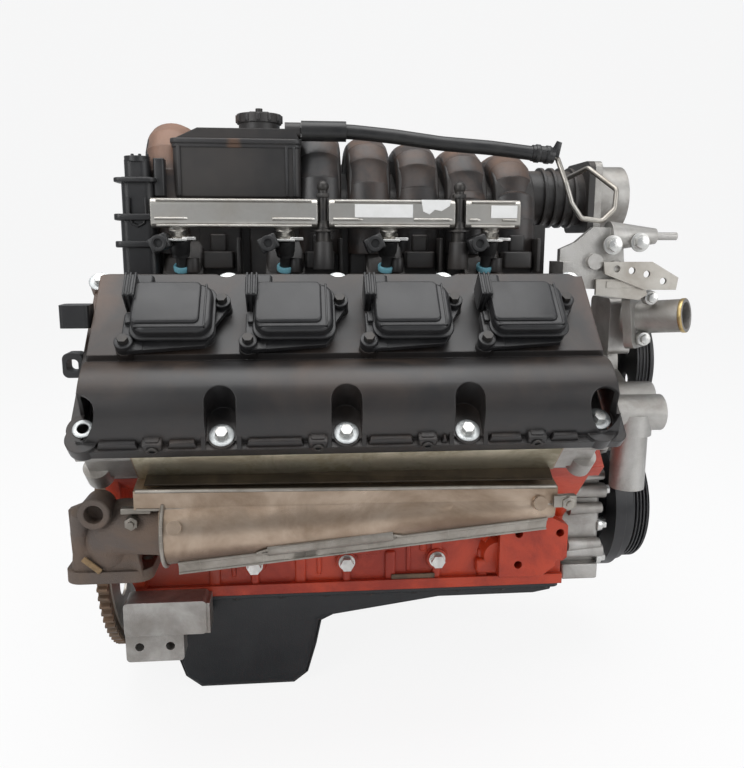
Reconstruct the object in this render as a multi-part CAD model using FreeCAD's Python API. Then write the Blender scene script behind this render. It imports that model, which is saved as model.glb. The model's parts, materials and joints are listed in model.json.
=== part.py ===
import FreeCAD, Part
import math
import os

"""Complete 90 degree pushrod V8 engine, built as separate pieces.

Frame: millimetres, origin on the crankshaft axis at the block's rear face,
+X towards the front of the engine, +Y to the engine's left bank, +Z up.
Bank pieces are drawn in a bank frame (along, outboard, up the bore axis) and
then turned by half the bank angle; the left bank is the right one mirrored
and moved forward by the bank offset.
"""

V = FreeCAD.Vector
X, Y, Z = V(1, 0, 0), V(0, 1, 0), V(0, 0, 1)
ORIGIN = V(0, 0, 0)

# ---- driving dimensions ----------------------------------------------------
BANK_HALF_ANGLE = 45.0
BORE = 103.9
STROKE = 94.6
BORE_SPACING = 113.3
BANK_OFFSET = 24.0
DECK_HEIGHT = 235.0
ROD_LENGTH = 157.5
FIRST_BORE_X = 75.25
FIRST_MAIN_X = 30.6
BLOCK_LENGTH = 532.0
CYLINDERS_PER_BANK = 4
RUNNING_GAP = 0.3          # clearance between pieces that move past each other

# block
DECK_HALF = 78.0           # deck edge outboard of the bore axis
DECK_INNER = 97.0          # deck edge inboard of the bore axis
DECK_FLANGE = 20.0
BANK_WALL_OUT = 64.0
SKIRT_HALF = 100.0
PAN_RAIL_Z = -77.0
VALLEY_Z = 205.0
SKIRT_WALL = 9.0
CRANKCASE_R = 92.0
BULKHEAD = 25.0

# crank train
MAIN_R = 32.5
PIN_R = 27.0
PIN_LENGTH = 48.0
WEB = 18.65
COUNTERWEIGHT_R = 78.0
ROD_WIDTH = 23.7
BIG_END_R = 36.0
PISTON_GAP = 0.4
COMPRESSION_HEIGHT = 29.7
WRIST_PIN_R = 12.0

# cam train
CAM_Z = 160.0
CAM_JOURNAL_R = 27.4
CAM_BASE_R = 20.0
CAM_LIFT = 7.0
LIFTER_D = 21.4
LIFTER_LEAN = 12.0         # lifters lean outboard of the bank axis
LIFTER_LENGTH = 37.0
LIFTER_STEP = 24.0         # lifters stand this far each side of the bore centre
PUSHROD_R = 4.0
PUSHROD_GAP = 3.0
INTAKE_CUP = (-79.5, 338.0)      # pushrod ends, outboard and up in the bank frame
EXHAUST_CUP = (-16.0, 345.0)
EXHAUST_CUP_STEP = 38.0    # the exhaust rocker passes beside the plug wells

# heads and covers
GASKET = 1.2
HEAD_START = -2.0
HEAD_END = 500.0
HEAD_HEIGHT = 99.0
COVER_START = -5.0
COVER_END = 512.0
COVER_OUT = 110.0
COVER_IN = 97.0
COVER_SHELF = 36.0         # shelf height above the head rail
COVER_BULGE = 50.0         # top of the coil bulge above the head rail
COIL_TOP = 64.0            # coil cap above the head rail

# block details
CROSS_BOLT_Z = -39.0
MOUNT_PAD_X = (470.0, 522.0)
MOUNT_PAD_Z = (-44.0, -3.5)
DOWEL_Y = 150.0
DOWEL_R = 6.5
FILTER_X = 72.0
FILTER_Z = -25.0
BELL_BOLTS = [(-150.0, 112.0), (-172.0, 20.0), (-114.0, -44.0)]

# bottom end
CAP_HALF = 62.0
CAP_DEPTH = 58.0
CAP_BOLT_Y = 47.0
TRAY_R = 86.0
PAN_WALL = 3.0
PAN_HALF = 92.0
SUMP = [(20, -80), (31, -134), (51, -196), (71, -212), (190, -212), (208, -198), (219, -160),
        (226, -127), (255, -113), (376, -96), (500, -96), (522, -92), (527, -80)]
PICKUP_Y = 45.0
FLANGE_R = 48.0
FLANGE_END = -16.0
SNOUT_R = 22.0
SNOUT_END = 652.0

# valve gear and chain
LOBE_WIDTH = 14.0
LOBE_NOSE_R = 9.0
SPROCKET_X = 535.0
SPROCKET_WIDTH = 8.0
CRANK_SPROCKET_R = 29.0
CAM_SPROCKET_R = 58.0
CRANK_TEETH = 20
CHAIN_HEIGHT = 7.0
LOBE_STEP = 90.0
VALVE_TILT = 14.0
VALVE_SPREAD = 26.0        # valve head centre from the bore centre
VALVE_STEM_R = 4.0
VALVE_TIP_UP = 338.0
INTAKE_VALVE_R = 24.0
EXHAUST_VALVE_R = 20.0
SPRING_R = 14.0
SPRING_HEIGHT = 42.0
SPRING_FOOT = 1.0
SPRING_PITCH = 6.6
SPRING_TURNS = 5
SHAFT_R = 7.5
HUB_R = 10.0
INTAKE_SHAFT = (-64.0, 350.0)
EXHAUST_SHAFT = (24.5, 348.0)
PLUG_STEP = 19.0
PLUG_SEAT_UP = 262.0

# head and cover details
EAR_X = (8.0, 487.0)        # the rear ear stays empty, the front one has a bolt
WIRING_X = (70.8, 219.0, 319.9, 423.2)
WIRING_OUT = 100.0
WIRING_UP = 20.0
POCKET_R = 14.0
POCKET_OUT = 80.0
EAR_OUT = 87.0
COVER_WALL = 3.5
COVER_RAIL = 11.0
COVER_DRAFT = 6.0
UPPER_BOLT_X = (0.0, 130.0, 244.0, 357.0, 497.0)
UPPER_BOLT_OUT = -90.0
LOWER_BOLT_OUT = 97.0
COVER_HOLE_R = 3.6
WELL_R = 12.5
COIL_HALF_X = 37.0
COIL_OUT = (-44.0, 14.0)
COIL_SHIFT = 10.0
PORT_UP = 290.0
EXHAUST_PORT_UP = 272.0
HEAD_OUT = 92.0
HEAD_LOW_OUT = 78.0
COIL_SCREWS = ((-43.0, 17.0), (44.0, -31.5))
FILLER_X = 476.0
FILLER_OUT = -66.0
FILLER_R = 22.0

# intake and fuel
DRUM_SHIFT = -17.0
DRUM_WIDTH = 47.0
DRUM_EDGE = 3.0
WEB_STEP = 12.0
DRUM_FRONT = 106.0
DRUM_TOPS = [478, 478, 478, 472, 466, 460, 454, 448]
LEG_HALF = 22.0
FLANGE_T = 12.0
INTAKE_START = 30.0
INTAKE_END = 500.0
NECK_R = 34.0
THROTTLE_Z = 408.0
THROTTLE_X = 596.0
THROTTLE_BORE_R = 33.0
BLADE_GAP = 0.5
THROTTLE_FACE = 620.0
THROTTLE_BACK = 573.0
RAIL_X = (49.0, 446.0)
RAIL_BREAKS = ((224.0, 236.5), (373.5, 385.5))     # gaps between the three rail sections
RAIL_Y = -149.0
RAIL_Z = (366.0, 397.0)
INJECTOR_TOP = (-149.0, 368.0)
INJECTOR_FOOT = (-126.0, 318.0)
VENT_X = (67.0, 207.0)
VENT_Y = (-116.0, -20.0)
VENT_Z = (399.0, 462.0)
HOSE_R = 8.0
HOSE_BORE = 3.3
SLEEVE_R = 11.0
SLEEVE_LENGTH = 50.0
HOSE_POINTS = [(208, -106, 473), (262, -106, 473), (312, -110, 468), (366, -111, 461), (422, -112, 457),
               (478, -111, 451)]
HOSE_BEND = 150.0
VAPOUR_R = 3.0
VAPOUR_POINTS = [(466, -111.2, 452.3), (500, -110.6, 448.6), (509, -119, 420), (517, -120, 396),
                 (529, -121, 379), (554, -121, 376), (569, -119, 390), (572, -114, 412), (552, -72, 440),
                 (541.4, -32.4, 431.2)]
VAPOUR_BEND = 7.0
STUD_X = (230.2, 379.5)

# front end
COVER_FRONT = 585.0
COVER_HUB_X = 598.0
COVER_HUB_R = 62.0
DAMPER_BACK = 606.0
DAMPER_FRONT = 656.0
DAMPER_HUB_R = 30.0
PUMP_Z = 195.0
PUMP_R = 56.0
PUMP_PULLEY_R = 72.0
PUMP_PULLEY_X = (630.0, 652.0)
IMPELLER_R = 42.0
NECK_Y = -120.0
INLET_Z = 148.0
INLET_NECK_X = 604.0
INLET_NECK_R = 21.0
INLET_BOSS_Z = 122.0
SPIGOT_LENGTH = 8.0
PRESS_GAP = 0.05
THERMO_MOUTH = V(655, -140, 268)
THERMO_BASE = V(613, -100, 262)
THERMO_R = 19.5
HALF_COVER = [(85, -79), (92, 0), (84, 90), (80, 170), (62, 222), (0, 243)]
RING_TEETH = 84
RING_R = 170.0

# exhaust
LOG_REAR = V(72, -286, 80)
LOG_FRONT = V(452, -286, 95)
LOG_R = (29.5, 10.0)
ARM_R = 14.0
ARM_BORE_R = 10.5
SHIELD_GAP = 3.0
SHIELD_T = 1.5
SHIELD_X = (48.0, 454.0)
SHIELD_OUT = 106.6
OUTLET = V(12, -240, 32)
OUTLET_STUD_STEP = 33.0
LIP_REAR = V(48, -306, 124.4)       # outer edge of the shield's recessed strip
LIP_RUN = V(0, 7, -8.6)              # how the lip shifts from the rear end to the front end
LIP_HEIGHT = 18.0
SHIELD_LOW_UP = 290.0
SHIELD_SCREW_X = (86.0, 436.0)

# derived
CYLINDER_X = [FIRST_BORE_X + BORE_SPACING * i for i in range(CYLINDERS_PER_BANK)]
MAIN_X = [FIRST_MAIN_X + BORE_SPACING * i for i in range(CYLINDERS_PER_BANK + 1)]
PIN_X = [x + BANK_OFFSET / 2 for x in CYLINDER_X]
WRIST_PIN_HALF = BORE / 2 - 9.95     # the pin ends short of the bore wall
HEAD_UP = DECK_HEIGHT + GASKET
RAIL_UP = HEAD_UP + HEAD_HEIGHT
LOWER_BOLT_X = [x + BORE_SPACING / 2 for x in CYLINDER_X[:-1]]
CRANK_ANGLES = [0, 90, 270, 180]     # throws, rear to front
CROSS_BOLT_X = MAIN_X[1:4]
LIFTER_BOTTOM = CAM_BASE_R + CAM_LIFT + 0.5 + RUNNING_GAP
LIFTER_TOP = LIFTER_BOTTOM + LIFTER_LENGTH
CRANK_REST = -BANK_HALF_ANGLE
COIL_SCREW_UP = RAIL_UP + COVER_SHELF + 14
DRUM_PITCH = BORE_SPACING / 2
DRUM_COUNT = 2 * CYLINDERS_PER_BANK


# ---- small geometry vocabulary ---------------------------------------------
def box(x0, x1, y0, y1, z0, z1):
    return Part.makeBox(x1 - x0, y1 - y0, z1 - z0, V(x0, y0, z0))


def rod(start, direction, radius, length):
    return Part.makeCylinder(radius, length, start, direction)


def tube(start, direction, outer, inner, length):
    return rod(start, direction, outer, length).cut(rod(start, direction, inner, length))


def cone(start, direction, r0, r1, length):
    return Part.makeCone(r0, r1, length, start, direction)


def plate(points, thickness_vector):
    """Straight-sided outline, extruded."""
    return Part.Face(Part.makePolygon(points + points[:1])).extrude(thickness_vector)


def slab_x(outline_yz, x0, x1):
    return plate([V(x0, y, z) for y, z in outline_yz], V(x1 - x0, 0, 0))


def slab_y(outline_xz, y0, y1):
    return plate([V(x, y0, z) for x, z in outline_xz], V(0, y1 - y0, 0))


def turned(profile_ar, start, direction):
    """Revolve (along, radius) points about a line."""
    face = Part.Face(Part.makePolygon([V(r, 0, a) for a, r in profile_ar + profile_ar[:1]]))
    solid = face.revolve(ORIGIN, Z, 360)
    solid.Placement = FreeCAD.Placement(start, FreeCAD.Rotation(Z, direction))
    return solid


def hexagon(start, direction, across_flats, height):
    corner = across_flats / math.sqrt(3)
    angles = [math.radians(60 * i) for i in range(6)]
    points = [V(corner * math.cos(a), corner * math.sin(a), 0) for a in angles]
    solid = plate(points, V(0, 0, height))
    solid.Placement = FreeCAD.Placement(start, FreeCAD.Rotation(Z, direction))
    return solid


def fuse(shapes):
    shapes = [s for s in shapes if s is not None]
    return shapes[0].multiFuse(shapes[1:]).removeSplitter() if len(shapes) > 1 else shapes[0]


def cut(shape, tools):
    return shape.cut(Part.makeCompound(tools) if len(tools) > 1 else tools[0])


def rounded(shape, radius, wanted):
    """Fillet the edges for which wanted(edge) is true."""
    edges = [e for e in shape.Edges if wanted(e)]
    return shape.makeFillet(radius, edges) if edges else shape


def runs_along(direction):
    def test(edge):
        if not isinstance(edge.Curve, Part.Line):
            return False
        return abs(abs(edge.tangentAt(edge.FirstParameter).dot(direction)) - 1) < 1e-6
    return test


def soft_box(x0, x1, y0, y1, z0, z1, radius, direction=Z):
    return rounded(box(x0, x1, y0, y1, z0, z1), radius, runs_along(direction))


def pipe(points, radius, bend):
    """Round bar along straight runs joined by tangent arcs."""
    edges = []
    start = points[0]
    for before, corner, after in zip(points, points[1:], points[2:]):
        into = (corner - before).normalize()
        out = (after - corner).normalize()
        turn = into.getAngle(out)
        back = bend * math.tan(turn / 2)
        arc_start = corner - into * back
        arc_end = corner + out * back
        inward = (out - into).normalize()
        middle = corner + inward * (bend / math.cos(turn / 2) - bend)
        edges.append(Part.LineSegment(start, arc_start).toShape())
        edges.append(Part.Arc(arc_start, middle, arc_end).toShape())
        start = arc_end
    edges.append(Part.LineSegment(start, points[-1]).toShape())
    path = Part.Wire(edges)
    heading = points[1] - points[0]
    ring = Part.Wire(Part.makeCircle(radius, points[0], heading))
    return path.makePipeShell([ring], True, True)


def hollow_pipe(points, radius, bend, wall):
    return pipe(points, radius, bend).cut(pipe(points, radius - wall, bend))


def bolt(seat, direction, across_flats, shank_r, shank_length, head_height=None, washer=True):
    """Flanged hex bolt: the head stands along direction, the shank goes back."""
    height = head_height or across_flats * 0.62
    collar = 1.6 if washer else 0
    pieces = [hexagon(seat + direction * collar, direction, across_flats, height),
              rod(seat - direction * shank_length, direction, shank_r, shank_length + collar)]
    if washer:
        pieces.append(rod(seat, direction, across_flats * 0.68, collar))
    return fuse(pieces)


def hole(seat, direction, shank_r, shank_length, clearance=RUNNING_GAP):
    return rod(seat - direction * (shank_length + 1), direction, shank_r + clearance, shank_length + 2)


# ---- bank frame ------------------------------------------------------------
def bank_point(x, outboard, up):
    return V(x, -outboard, up)


OUT, IN, UP = V(0, -1, 0), V(0, 1, 0), V(0, 0, 1)


def right(shape):
    turned_shape = shape.copy()
    turned_shape.rotate(ORIGIN, X, BANK_HALF_ANGLE)
    return turned_shape


def left(shape):
    mirrored = right(shape).mirror(ORIGIN, Y)
    mirrored.translate(V(BANK_OFFSET, 0, 0))
    return mirrored


def to_right(x, outboard, up):
    """Engine position of a point given in the right bank's frame."""
    a = math.radians(BANK_HALF_ANGLE)
    y = -outboard * math.cos(a) - up * math.sin(a)
    z = -outboard * math.sin(a) + up * math.cos(a)
    return V(x, y, z)


def bank_slab(outline_out_up, x0, x1):
    return plate([bank_point(x0, o, u) for o, u in outline_out_up], V(x1 - x0, 0, 0))


def bank_box(x0, x1, out0, out1, up0, up1):
    return box(x0, x1, -out1, -out0, up0, up1)


NODES = {}


def keep(name, shapes):
    NODES[name] = shapes if isinstance(shapes, list) else [shapes]


# ---- block -----------------------------------------------------------------


def right_outline():
    """Cross-section of the right half, from the pan rail up to the valley."""
    def at(outboard, up):
        p = to_right(0, outboard, up)
        return (p.y, p.z)
    wall_foot_z = -SKIRT_HALF + 2 * 55.0
    wall_low = at(BANK_WALL_OUT, 100.0)
    return [(-SKIRT_HALF, PAN_RAIL_Z), (-SKIRT_HALF, wall_foot_z), wall_low,
            at(BANK_WALL_OUT, DECK_HEIGHT - DECK_FLANGE),
            at(DECK_HALF, DECK_HEIGHT - DECK_FLANGE), at(DECK_HALF, DECK_HEIGHT),
            at(-DECK_INNER, DECK_HEIGHT), at(-DECK_INNER, DECK_HEIGHT - DECK_FLANGE),
            (-58.0, VALLEY_Z)]


def block_body():
    half = right_outline()
    body = slab_x(half + [(-y, z) for y, z in reversed(half)], 0, BLOCK_LENGTH)
    # bell-housing flange, engine-mount bosses, cross-bolt bosses and stiffening ribs
    flange = [(-SKIRT_HALF, PAN_RAIL_Z), (-106, -66), (-190, 20), (-218, 110), (-197, 132), (-150, 160)]
    flange_plate = slab_x(flange + [(-y, z) for y, z in reversed(flange)], 0, 14)
    rail = box(0, BLOCK_LENGTH, -SKIRT_HALF - 8, SKIRT_HALF + 8, PAN_RAIL_Z, PAN_RAIL_Z + 13)
    added = [body, flange_plate, rail]
    added.append(rod(V(FILTER_X, SKIRT_HALF - 8, FILTER_Z), Y, 32, 19.8))
    for side in (-1, 1):
        face = V(0, side, 0)
        for x in CROSS_BOLT_X:
            added.append(rod(V(x, side * (SKIRT_HALF - 8), CROSS_BOLT_Z), face, 13, 15))
            web = [(x - 7, CROSS_BOLT_Z), (x + 7, CROSS_BOLT_Z), (x + 5, 8), (x - 5, 8)]
            y0, y1 = sorted((side * (SKIRT_HALF - 4), side * (SKIRT_HALF + 4)))
            added.append(slab_y(web, y0, y1))
        y0, y1 = sorted((side * (SKIRT_HALF - 4), side * (SKIRT_HALF + 22)))
        pad = [(446, -60), (500, -60), (532, -36), (532, 6), (500, 22), (446, 22)]
        added.append(slab_y(pad, y0, y1))
        y0, y1 = sorted((side * (SKIRT_HALF - 4), side * (SKIRT_HALF + 6)))
        added.append(soft_box(160, 300, y0, y1, -30, -6, 8, Y))
    return fuse(added)


def engine_block():
    block = block_body()
    tools = []
    for turn in (right, left):
        for x in CYLINDER_X:
            tools.append(turn(rod(V(x, 0, 60), Z, BORE / 2, DECK_HEIGHT)))
    # crankcase bays between the main bulkheads, open downwards
    edges = [12.0] + [x + s * BULKHEAD / 2 for x in MAIN_X for s in (-1, 1)] + [BLOCK_LENGTH - 8]
    inner = SKIRT_HALF - SKIRT_WALL
    for x0, x1 in zip(edges[0::2], edges[1::2]):
        if x1 - x0 < 4:
            continue
        bay = rod(V(x0, 0, 0), X, CRANKCASE_R, x1 - x0)
        below = box(x0, x1, -inner, inner, PAN_RAIL_Z - 1, 0)
        tools.append(bay.common(box(x0, x1, -inner, inner, 0, 120)).fuse(below))
    cap_half = 62.0
    for x in MAIN_X:
        tools.append(box(x - BULKHEAD / 2, x + BULKHEAD / 2, -cap_half, cap_half, PAN_RAIL_Z - 1, 0))
        for side in (-1, 1):
            y0, y1 = sorted((side * (cap_half + 22), side * inner))
            tools.append(box(x - BULKHEAD / 2, x + BULKHEAD / 2, y0, y1, PAN_RAIL_Z - 1, CROSS_BOLT_Z - 18))
        for side in (-1, 1):
            tools.append(rod(V(x, side * CAP_BOLT_Y, -1), Z, 5.6, 34))
    tools.append(rod(V(BLOCK_LENGTH - 10, PICKUP_Y, -50), X, 7.5, 12))
    tools.append(rod(V(-1, 0, 0), X, MAIN_R + RUNNING_GAP, BLOCK_LENGTH + 2))
    tools.append(rod(V(-1, 0, CAM_Z), X, CAM_JOURNAL_R + RUNNING_GAP, BLOCK_LENGTH + 2))
    for turn in (right, left):
        for start, direction, cup in lifter_lines():
            tools.append(turn(rod(start, direction, LIFTER_D / 2 + 0.05, LIFTER_TOP + 1)))
            tools.append(turn(pushrod_passage(start, direction, cup)))
    for y, z in BELL_BOLTS:
        for side in (-1, 1):
            tools.append(rod(V(-1, side * y, z), X, 5.0, 22))
    for side in (-1, 1):
        tools.append(rod(V(-1, side * DOWEL_Y, 0), X, DOWEL_R, 16))
        for x in CROSS_BOLT_X:
            tools.append(rod(V(x, side * (SKIRT_HALF + 10), CROSS_BOLT_Z), V(0, -side, 0), 5.3, 60))
        for x in MOUNT_PAD_X:
            for z in MOUNT_PAD_Z:
                tools.append(rod(V(x, side * (SKIRT_HALF + 23), z), V(0, -side, 0), 5.0, 25))
    return cut(block, tools)


def lifter_lines():
    """Cam-axis point, sliding direction and pushrod cup of each lifter of a bank."""
    a = math.radians(BANK_HALF_ANGLE)
    lean = math.radians(LIFTER_LEAN)
    direction = bank_point(0, math.sin(lean), math.cos(lean))
    lines = []
    for x in CYLINDER_X:
        start = bank_point(x, -CAM_Z * math.sin(a), CAM_Z * math.cos(a))
        lines.append((start - X * LIFTER_STEP, direction, bank_point(x - LIFTER_STEP, *INTAKE_CUP)))
        lines.append((start + X * LIFTER_STEP, direction, bank_point(x + EXHAUST_CUP_STEP, *EXHAUST_CUP)))
    return lines


def pushrod_passage(start, direction, cup):
    foot = start + direction * LIFTER_TOP
    along = (cup - foot).normalize()
    return rod(foot - along * 2, along, PUSHROD_R + PUSHROD_GAP, (cup - foot).Length)


# ---- bottom end ------------------------------------------------------------


def main_caps():
    caps = []
    for x in MAIN_X:
        outline = [(-CAP_HALF, 0), (-CAP_HALF, -40), (-50, -CAP_DEPTH), (50, -CAP_DEPTH),
                   (CAP_HALF, -40), (CAP_HALF, 0)]
        cap = slab_x(outline, x - BULKHEAD / 2, x + BULKHEAD / 2)
        tools = [rod(V(x - BULKHEAD, 0, 0), X, MAIN_R + RUNNING_GAP, 2 * BULKHEAD)]
        for side in (-1, 1):
            tools.append(rod(V(x, side * CAP_BOLT_Y, -CAP_DEPTH - 1), Z, 5.6, CAP_DEPTH + 2))
            if x in CROSS_BOLT_X:
                tools.append(rod(V(x, side * (CAP_HALF + 1), CROSS_BOLT_Z + 22), V(0, -side, 0), 5.1, 8))
        caps.append(cut(cap, tools))
    return caps


def main_bolts():
    bolts = []
    for x in MAIN_X:
        for side in (-1, 1):
            seat = V(x, side * CAP_BOLT_Y, -CAP_DEPTH)
            bolts.append(bolt(seat, -Z, 10, 5.3, CAP_DEPTH + 30, 7, False))
    for x in CROSS_BOLT_X:
        for side in (-1, 1):
            seat = V(x, side * (SKIRT_HALF + 7), CROSS_BOLT_Z)
            bolts.append(bolt(seat, V(0, side, 0), 15, 5.0, 38, 9))
    return bolts


def oil_pan():
    outer = Part.Face(Part.makePolygon([V(x, 0, z) for x, z in SUMP + SUMP[:1]]))
    inner = outer.makeOffset2D(-PAN_WALL)
    outer.translate(V(0, -PAN_HALF, 0))
    shell = outer.extrude(V(0, 2 * PAN_HALF, 0))
    inner.translate(V(0, -PAN_HALF + PAN_WALL, 0))
    cavity = inner.extrude(V(0, 2 * (PAN_HALF - PAN_WALL), 0))
    mouth = box(26, 518, -PAN_HALF + PAN_WALL, PAN_HALF - PAN_WALL, -90, PAN_RAIL_Z + 1)
    shell = rounded(shell, 12, lambda e: runs_along(Y)(e) is False and e.BoundBox.ZMax < -100
                    and abs(abs(e.CenterOfMass.y) - PAN_HALF) < 1)
    flange = soft_box(4, BLOCK_LENGTH - 2, -SKIRT_HALF - 7, SKIRT_HALF + 7, -82, PAN_RAIL_Z, 10)
    plug = rod(V(58, 0, -190), V(-1, 0, 0.35).normalize(), 11, 16)
    pan = fuse([shell, flange, plug])
    holes = [rod(V(x, side * (SKIRT_HALF + 1.5), -84), Z, 3.4, 10)
             for x in (20, 140, 260, 380, 510) for side in (-1, 1)]
    return cut(pan, [cavity, mouth] + holes)


def windage_tray():
    sector = tube(V(29, 0, 0), X, TRAY_R + 1.5, TRAY_R, 466)
    sector = sector.common(box(0, 520, -50, 50, -100, -60))
    posts = [rod(V(x, 0, -TRAY_R - 0.5), Z, 4, TRAY_R + 0.5 - CAP_DEPTH) for x in MAIN_X]
    return fuse([sector] + posts)


def oil_pickup():
    route = [V(533, PICKUP_Y, -50), V(508, PICKUP_Y, -50), V(508, PICKUP_Y + 3, -84),
             V(215, PICKUP_Y + 3, -84), V(150, 14, -172)]
    suction = hollow_pipe(route, 7, 8, 1.5)
    cup = turned([(0, 0.01), (0, 8), (7, 24), (19, 26), (19, 24), (9, 20), (4, 0.01)], V(150, 14, -170), -Z)
    return fuse([suction, cup])


def pin_position(index):
    a = math.radians(CRANK_REST + CRANK_ANGLES[index])
    return math.sin(a) * STROKE / 2, math.cos(a) * STROKE / 2


def crank_web(x, index, weighted):
    """One cheek: round about the pin, with a counterweight opposite it."""
    throw = STROKE / 2
    cheek = rod(V(x, 0, throw), X, 38, WEB)
    neck = slab_x([(-40, 0), (40, 0), (34, throw + 12), (-34, throw + 12)], x, x + WEB)
    pieces = [rod(V(x, 0, 0), X, MAIN_R + 8, WEB), cheek, neck]
    if weighted:
        weight = rod(V(x, 0, 0), X, COUNTERWEIGHT_R, WEB)
        fan = slab_x([(-40, 6), (40, 6), (78, -30), (78, -90), (-78, -90), (-78, -30)], x, x + WEB)
        pieces.append(weight.common(fan))
    web = fuse(pieces).common(rod(V(x, 0, 0), X, COUNTERWEIGHT_R, WEB))
    web.rotate(ORIGIN, X, -(CRANK_REST + CRANK_ANGLES[index]))
    return web


def crankshaft():
    pieces = [rod(V(x - 14, 0, 0), X, MAIN_R, 28) for x in MAIN_X]
    for i, x in enumerate(PIN_X):
        y, z = pin_position(i)
        pieces.append(rod(V(x - PIN_LENGTH / 2, y, z), X, PIN_R, PIN_LENGTH))
        pieces.append(crank_web(x - PIN_LENGTH / 2 - WEB, i, i != 2))
        pieces.append(crank_web(x + PIN_LENGTH / 2, i, i != 1))
    pieces.append(rod(V(FLANGE_END, 0, 0), X, FLANGE_R, -FLANGE_END - 0.5))
    pieces.append(rod(V(-1, 0, 0), X, MAIN_R, 20))
    pieces.append(rod(V(MAIN_X[-1] + 10, 0, 0), X, SNOUT_R, SNOUT_END - MAIN_X[-1] - 10))
    crank = fuse(pieces)
    return crank


def bank_pin(index, mirrored):
    """Crank pin centre as outboard and up, in the frame of the bank."""
    y, z = pin_position(index)
    if mirrored:
        y = -y
    a = math.radians(BANK_HALF_ANGLE)
    return (-y * math.cos(a) - z * math.sin(a), -y * math.sin(a) + z * math.cos(a))


def wrist_height(index, mirrored):
    out, up = bank_pin(index, mirrored)
    return up + math.sqrt(ROD_LENGTH ** 2 - out ** 2)


def connecting_rod(index, mirrored):
    out, up = bank_pin(index, mirrored)
    x = CYLINDER_X[index]
    half = ROD_WIDTH / 2
    big = rod(V(x - half, 0, 0), X, BIG_END_R, ROD_WIDTH)
    lugs = soft_box(x - half, x + half, -BIG_END_R - 5, BIG_END_R + 5, -16, 14, 4, X)
    small = rod(V(x - 10, 0, ROD_LENGTH), X, WRIST_PIN_R + 6, 20)
    shank = slab_x([(-19, 24), (19, 24), (11, ROD_LENGTH - 10), (-11, ROD_LENGTH - 10)], x - 9, x + 9)
    body = fuse([big, lugs, small, shank])
    tools = [rod(V(x - 20, 0, 0), X, PIN_R + RUNNING_GAP, 40),
             rod(V(x - 20, 0, ROD_LENGTH), X, WRIST_PIN_R + 0.05, 40)]
    for side in (-1, 1):
        x0, x1 = sorted((x + side * 4, x + side * 10))
        tools.append(slab_x([(-10, 44), (10, 44), (5, ROD_LENGTH - 26), (-5, ROD_LENGTH - 26)], x0, x1))
    body = cut(body, tools)
    # split line: the cap is its own piece
    cap = body.common(box(x - 20, x + 20, -60, 60, -60, -0.05))
    body = body.cut(box(x - 20, x + 20, -60, 60, -60, 0.05))
    tilt = math.degrees(math.atan2(out, wrist_height(index, mirrored) - up))
    placed = []
    for piece in (body, cap):
        piece.rotate(ORIGIN, X, -tilt)
        piece.translate(bank_point(0, out, up))
        placed.append(piece)
    return placed


def piston(index, mirrored):
    top = wrist_height(index, mirrored) + COMPRESSION_HEIGHT
    radius = BORE / 2 - PISTON_GAP
    profile = [(0, 0.01), (0, radius), (-6, radius), (-6, radius - 3), (-8, radius - 3), (-8, radius),
               (-13, radius), (-13, radius - 3), (-15, radius - 3), (-15, radius), (-19, radius),
               (-19, radius - 3), (-22, radius - 3), (-22, radius), (-52, radius), (-52, radius - 5),
               (-24, radius - 6), (-10, radius - 14), (-10, 0.01)]
    crown = turned([(a, r) for a, r in profile], V(CYLINDER_X[index], 0, top), Z)
    x = CYLINDER_X[index]
    pin_up = top - COMPRESSION_HEIGHT
    bosses = [rod(V(x + s * 12 if s > 0 else x - 44, 0, pin_up), X, WRIST_PIN_R + 7, 32)
              for s in (-1, 1)]
    inside = rod(V(x, 0, top - 52), Z, radius - 2, 45)
    posts = [box(x + a, x + b, -9, 9, pin_up, top - 6) for a, b in ((-44, -12), (12, 44))]
    body = fuse([crown] + [b.common(inside) for b in bosses + posts])
    slots = [box(x + s * 53 - 7, x + s * 53 + 7, -60, 60, top - 60, top - 26) for s in (-1, 1)]
    return cut(body, [rod(V(x - 60, 0, pin_up), X, WRIST_PIN_R + 0.05, 120)] + slots)


def piston_set():
    pistons, pins, rods = [], [], []
    for turn, mirrored in ((right, False), (left, True)):
        for i in range(CYLINDERS_PER_BANK):
            up = wrist_height(i, mirrored)
            pistons.append(turn(piston(i, mirrored)))
            start = V(CYLINDER_X[i] - WRIST_PIN_HALF, 0, up)
            pins.append(turn(tube(start, X, WRIST_PIN_R, 7, 2 * WRIST_PIN_HALF)))
            rods += [turn(p) for p in connecting_rod(i, mirrored)]
    return pistons, pins, rods


# ---- cam, chain and valve gear ---------------------------------------------


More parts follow.
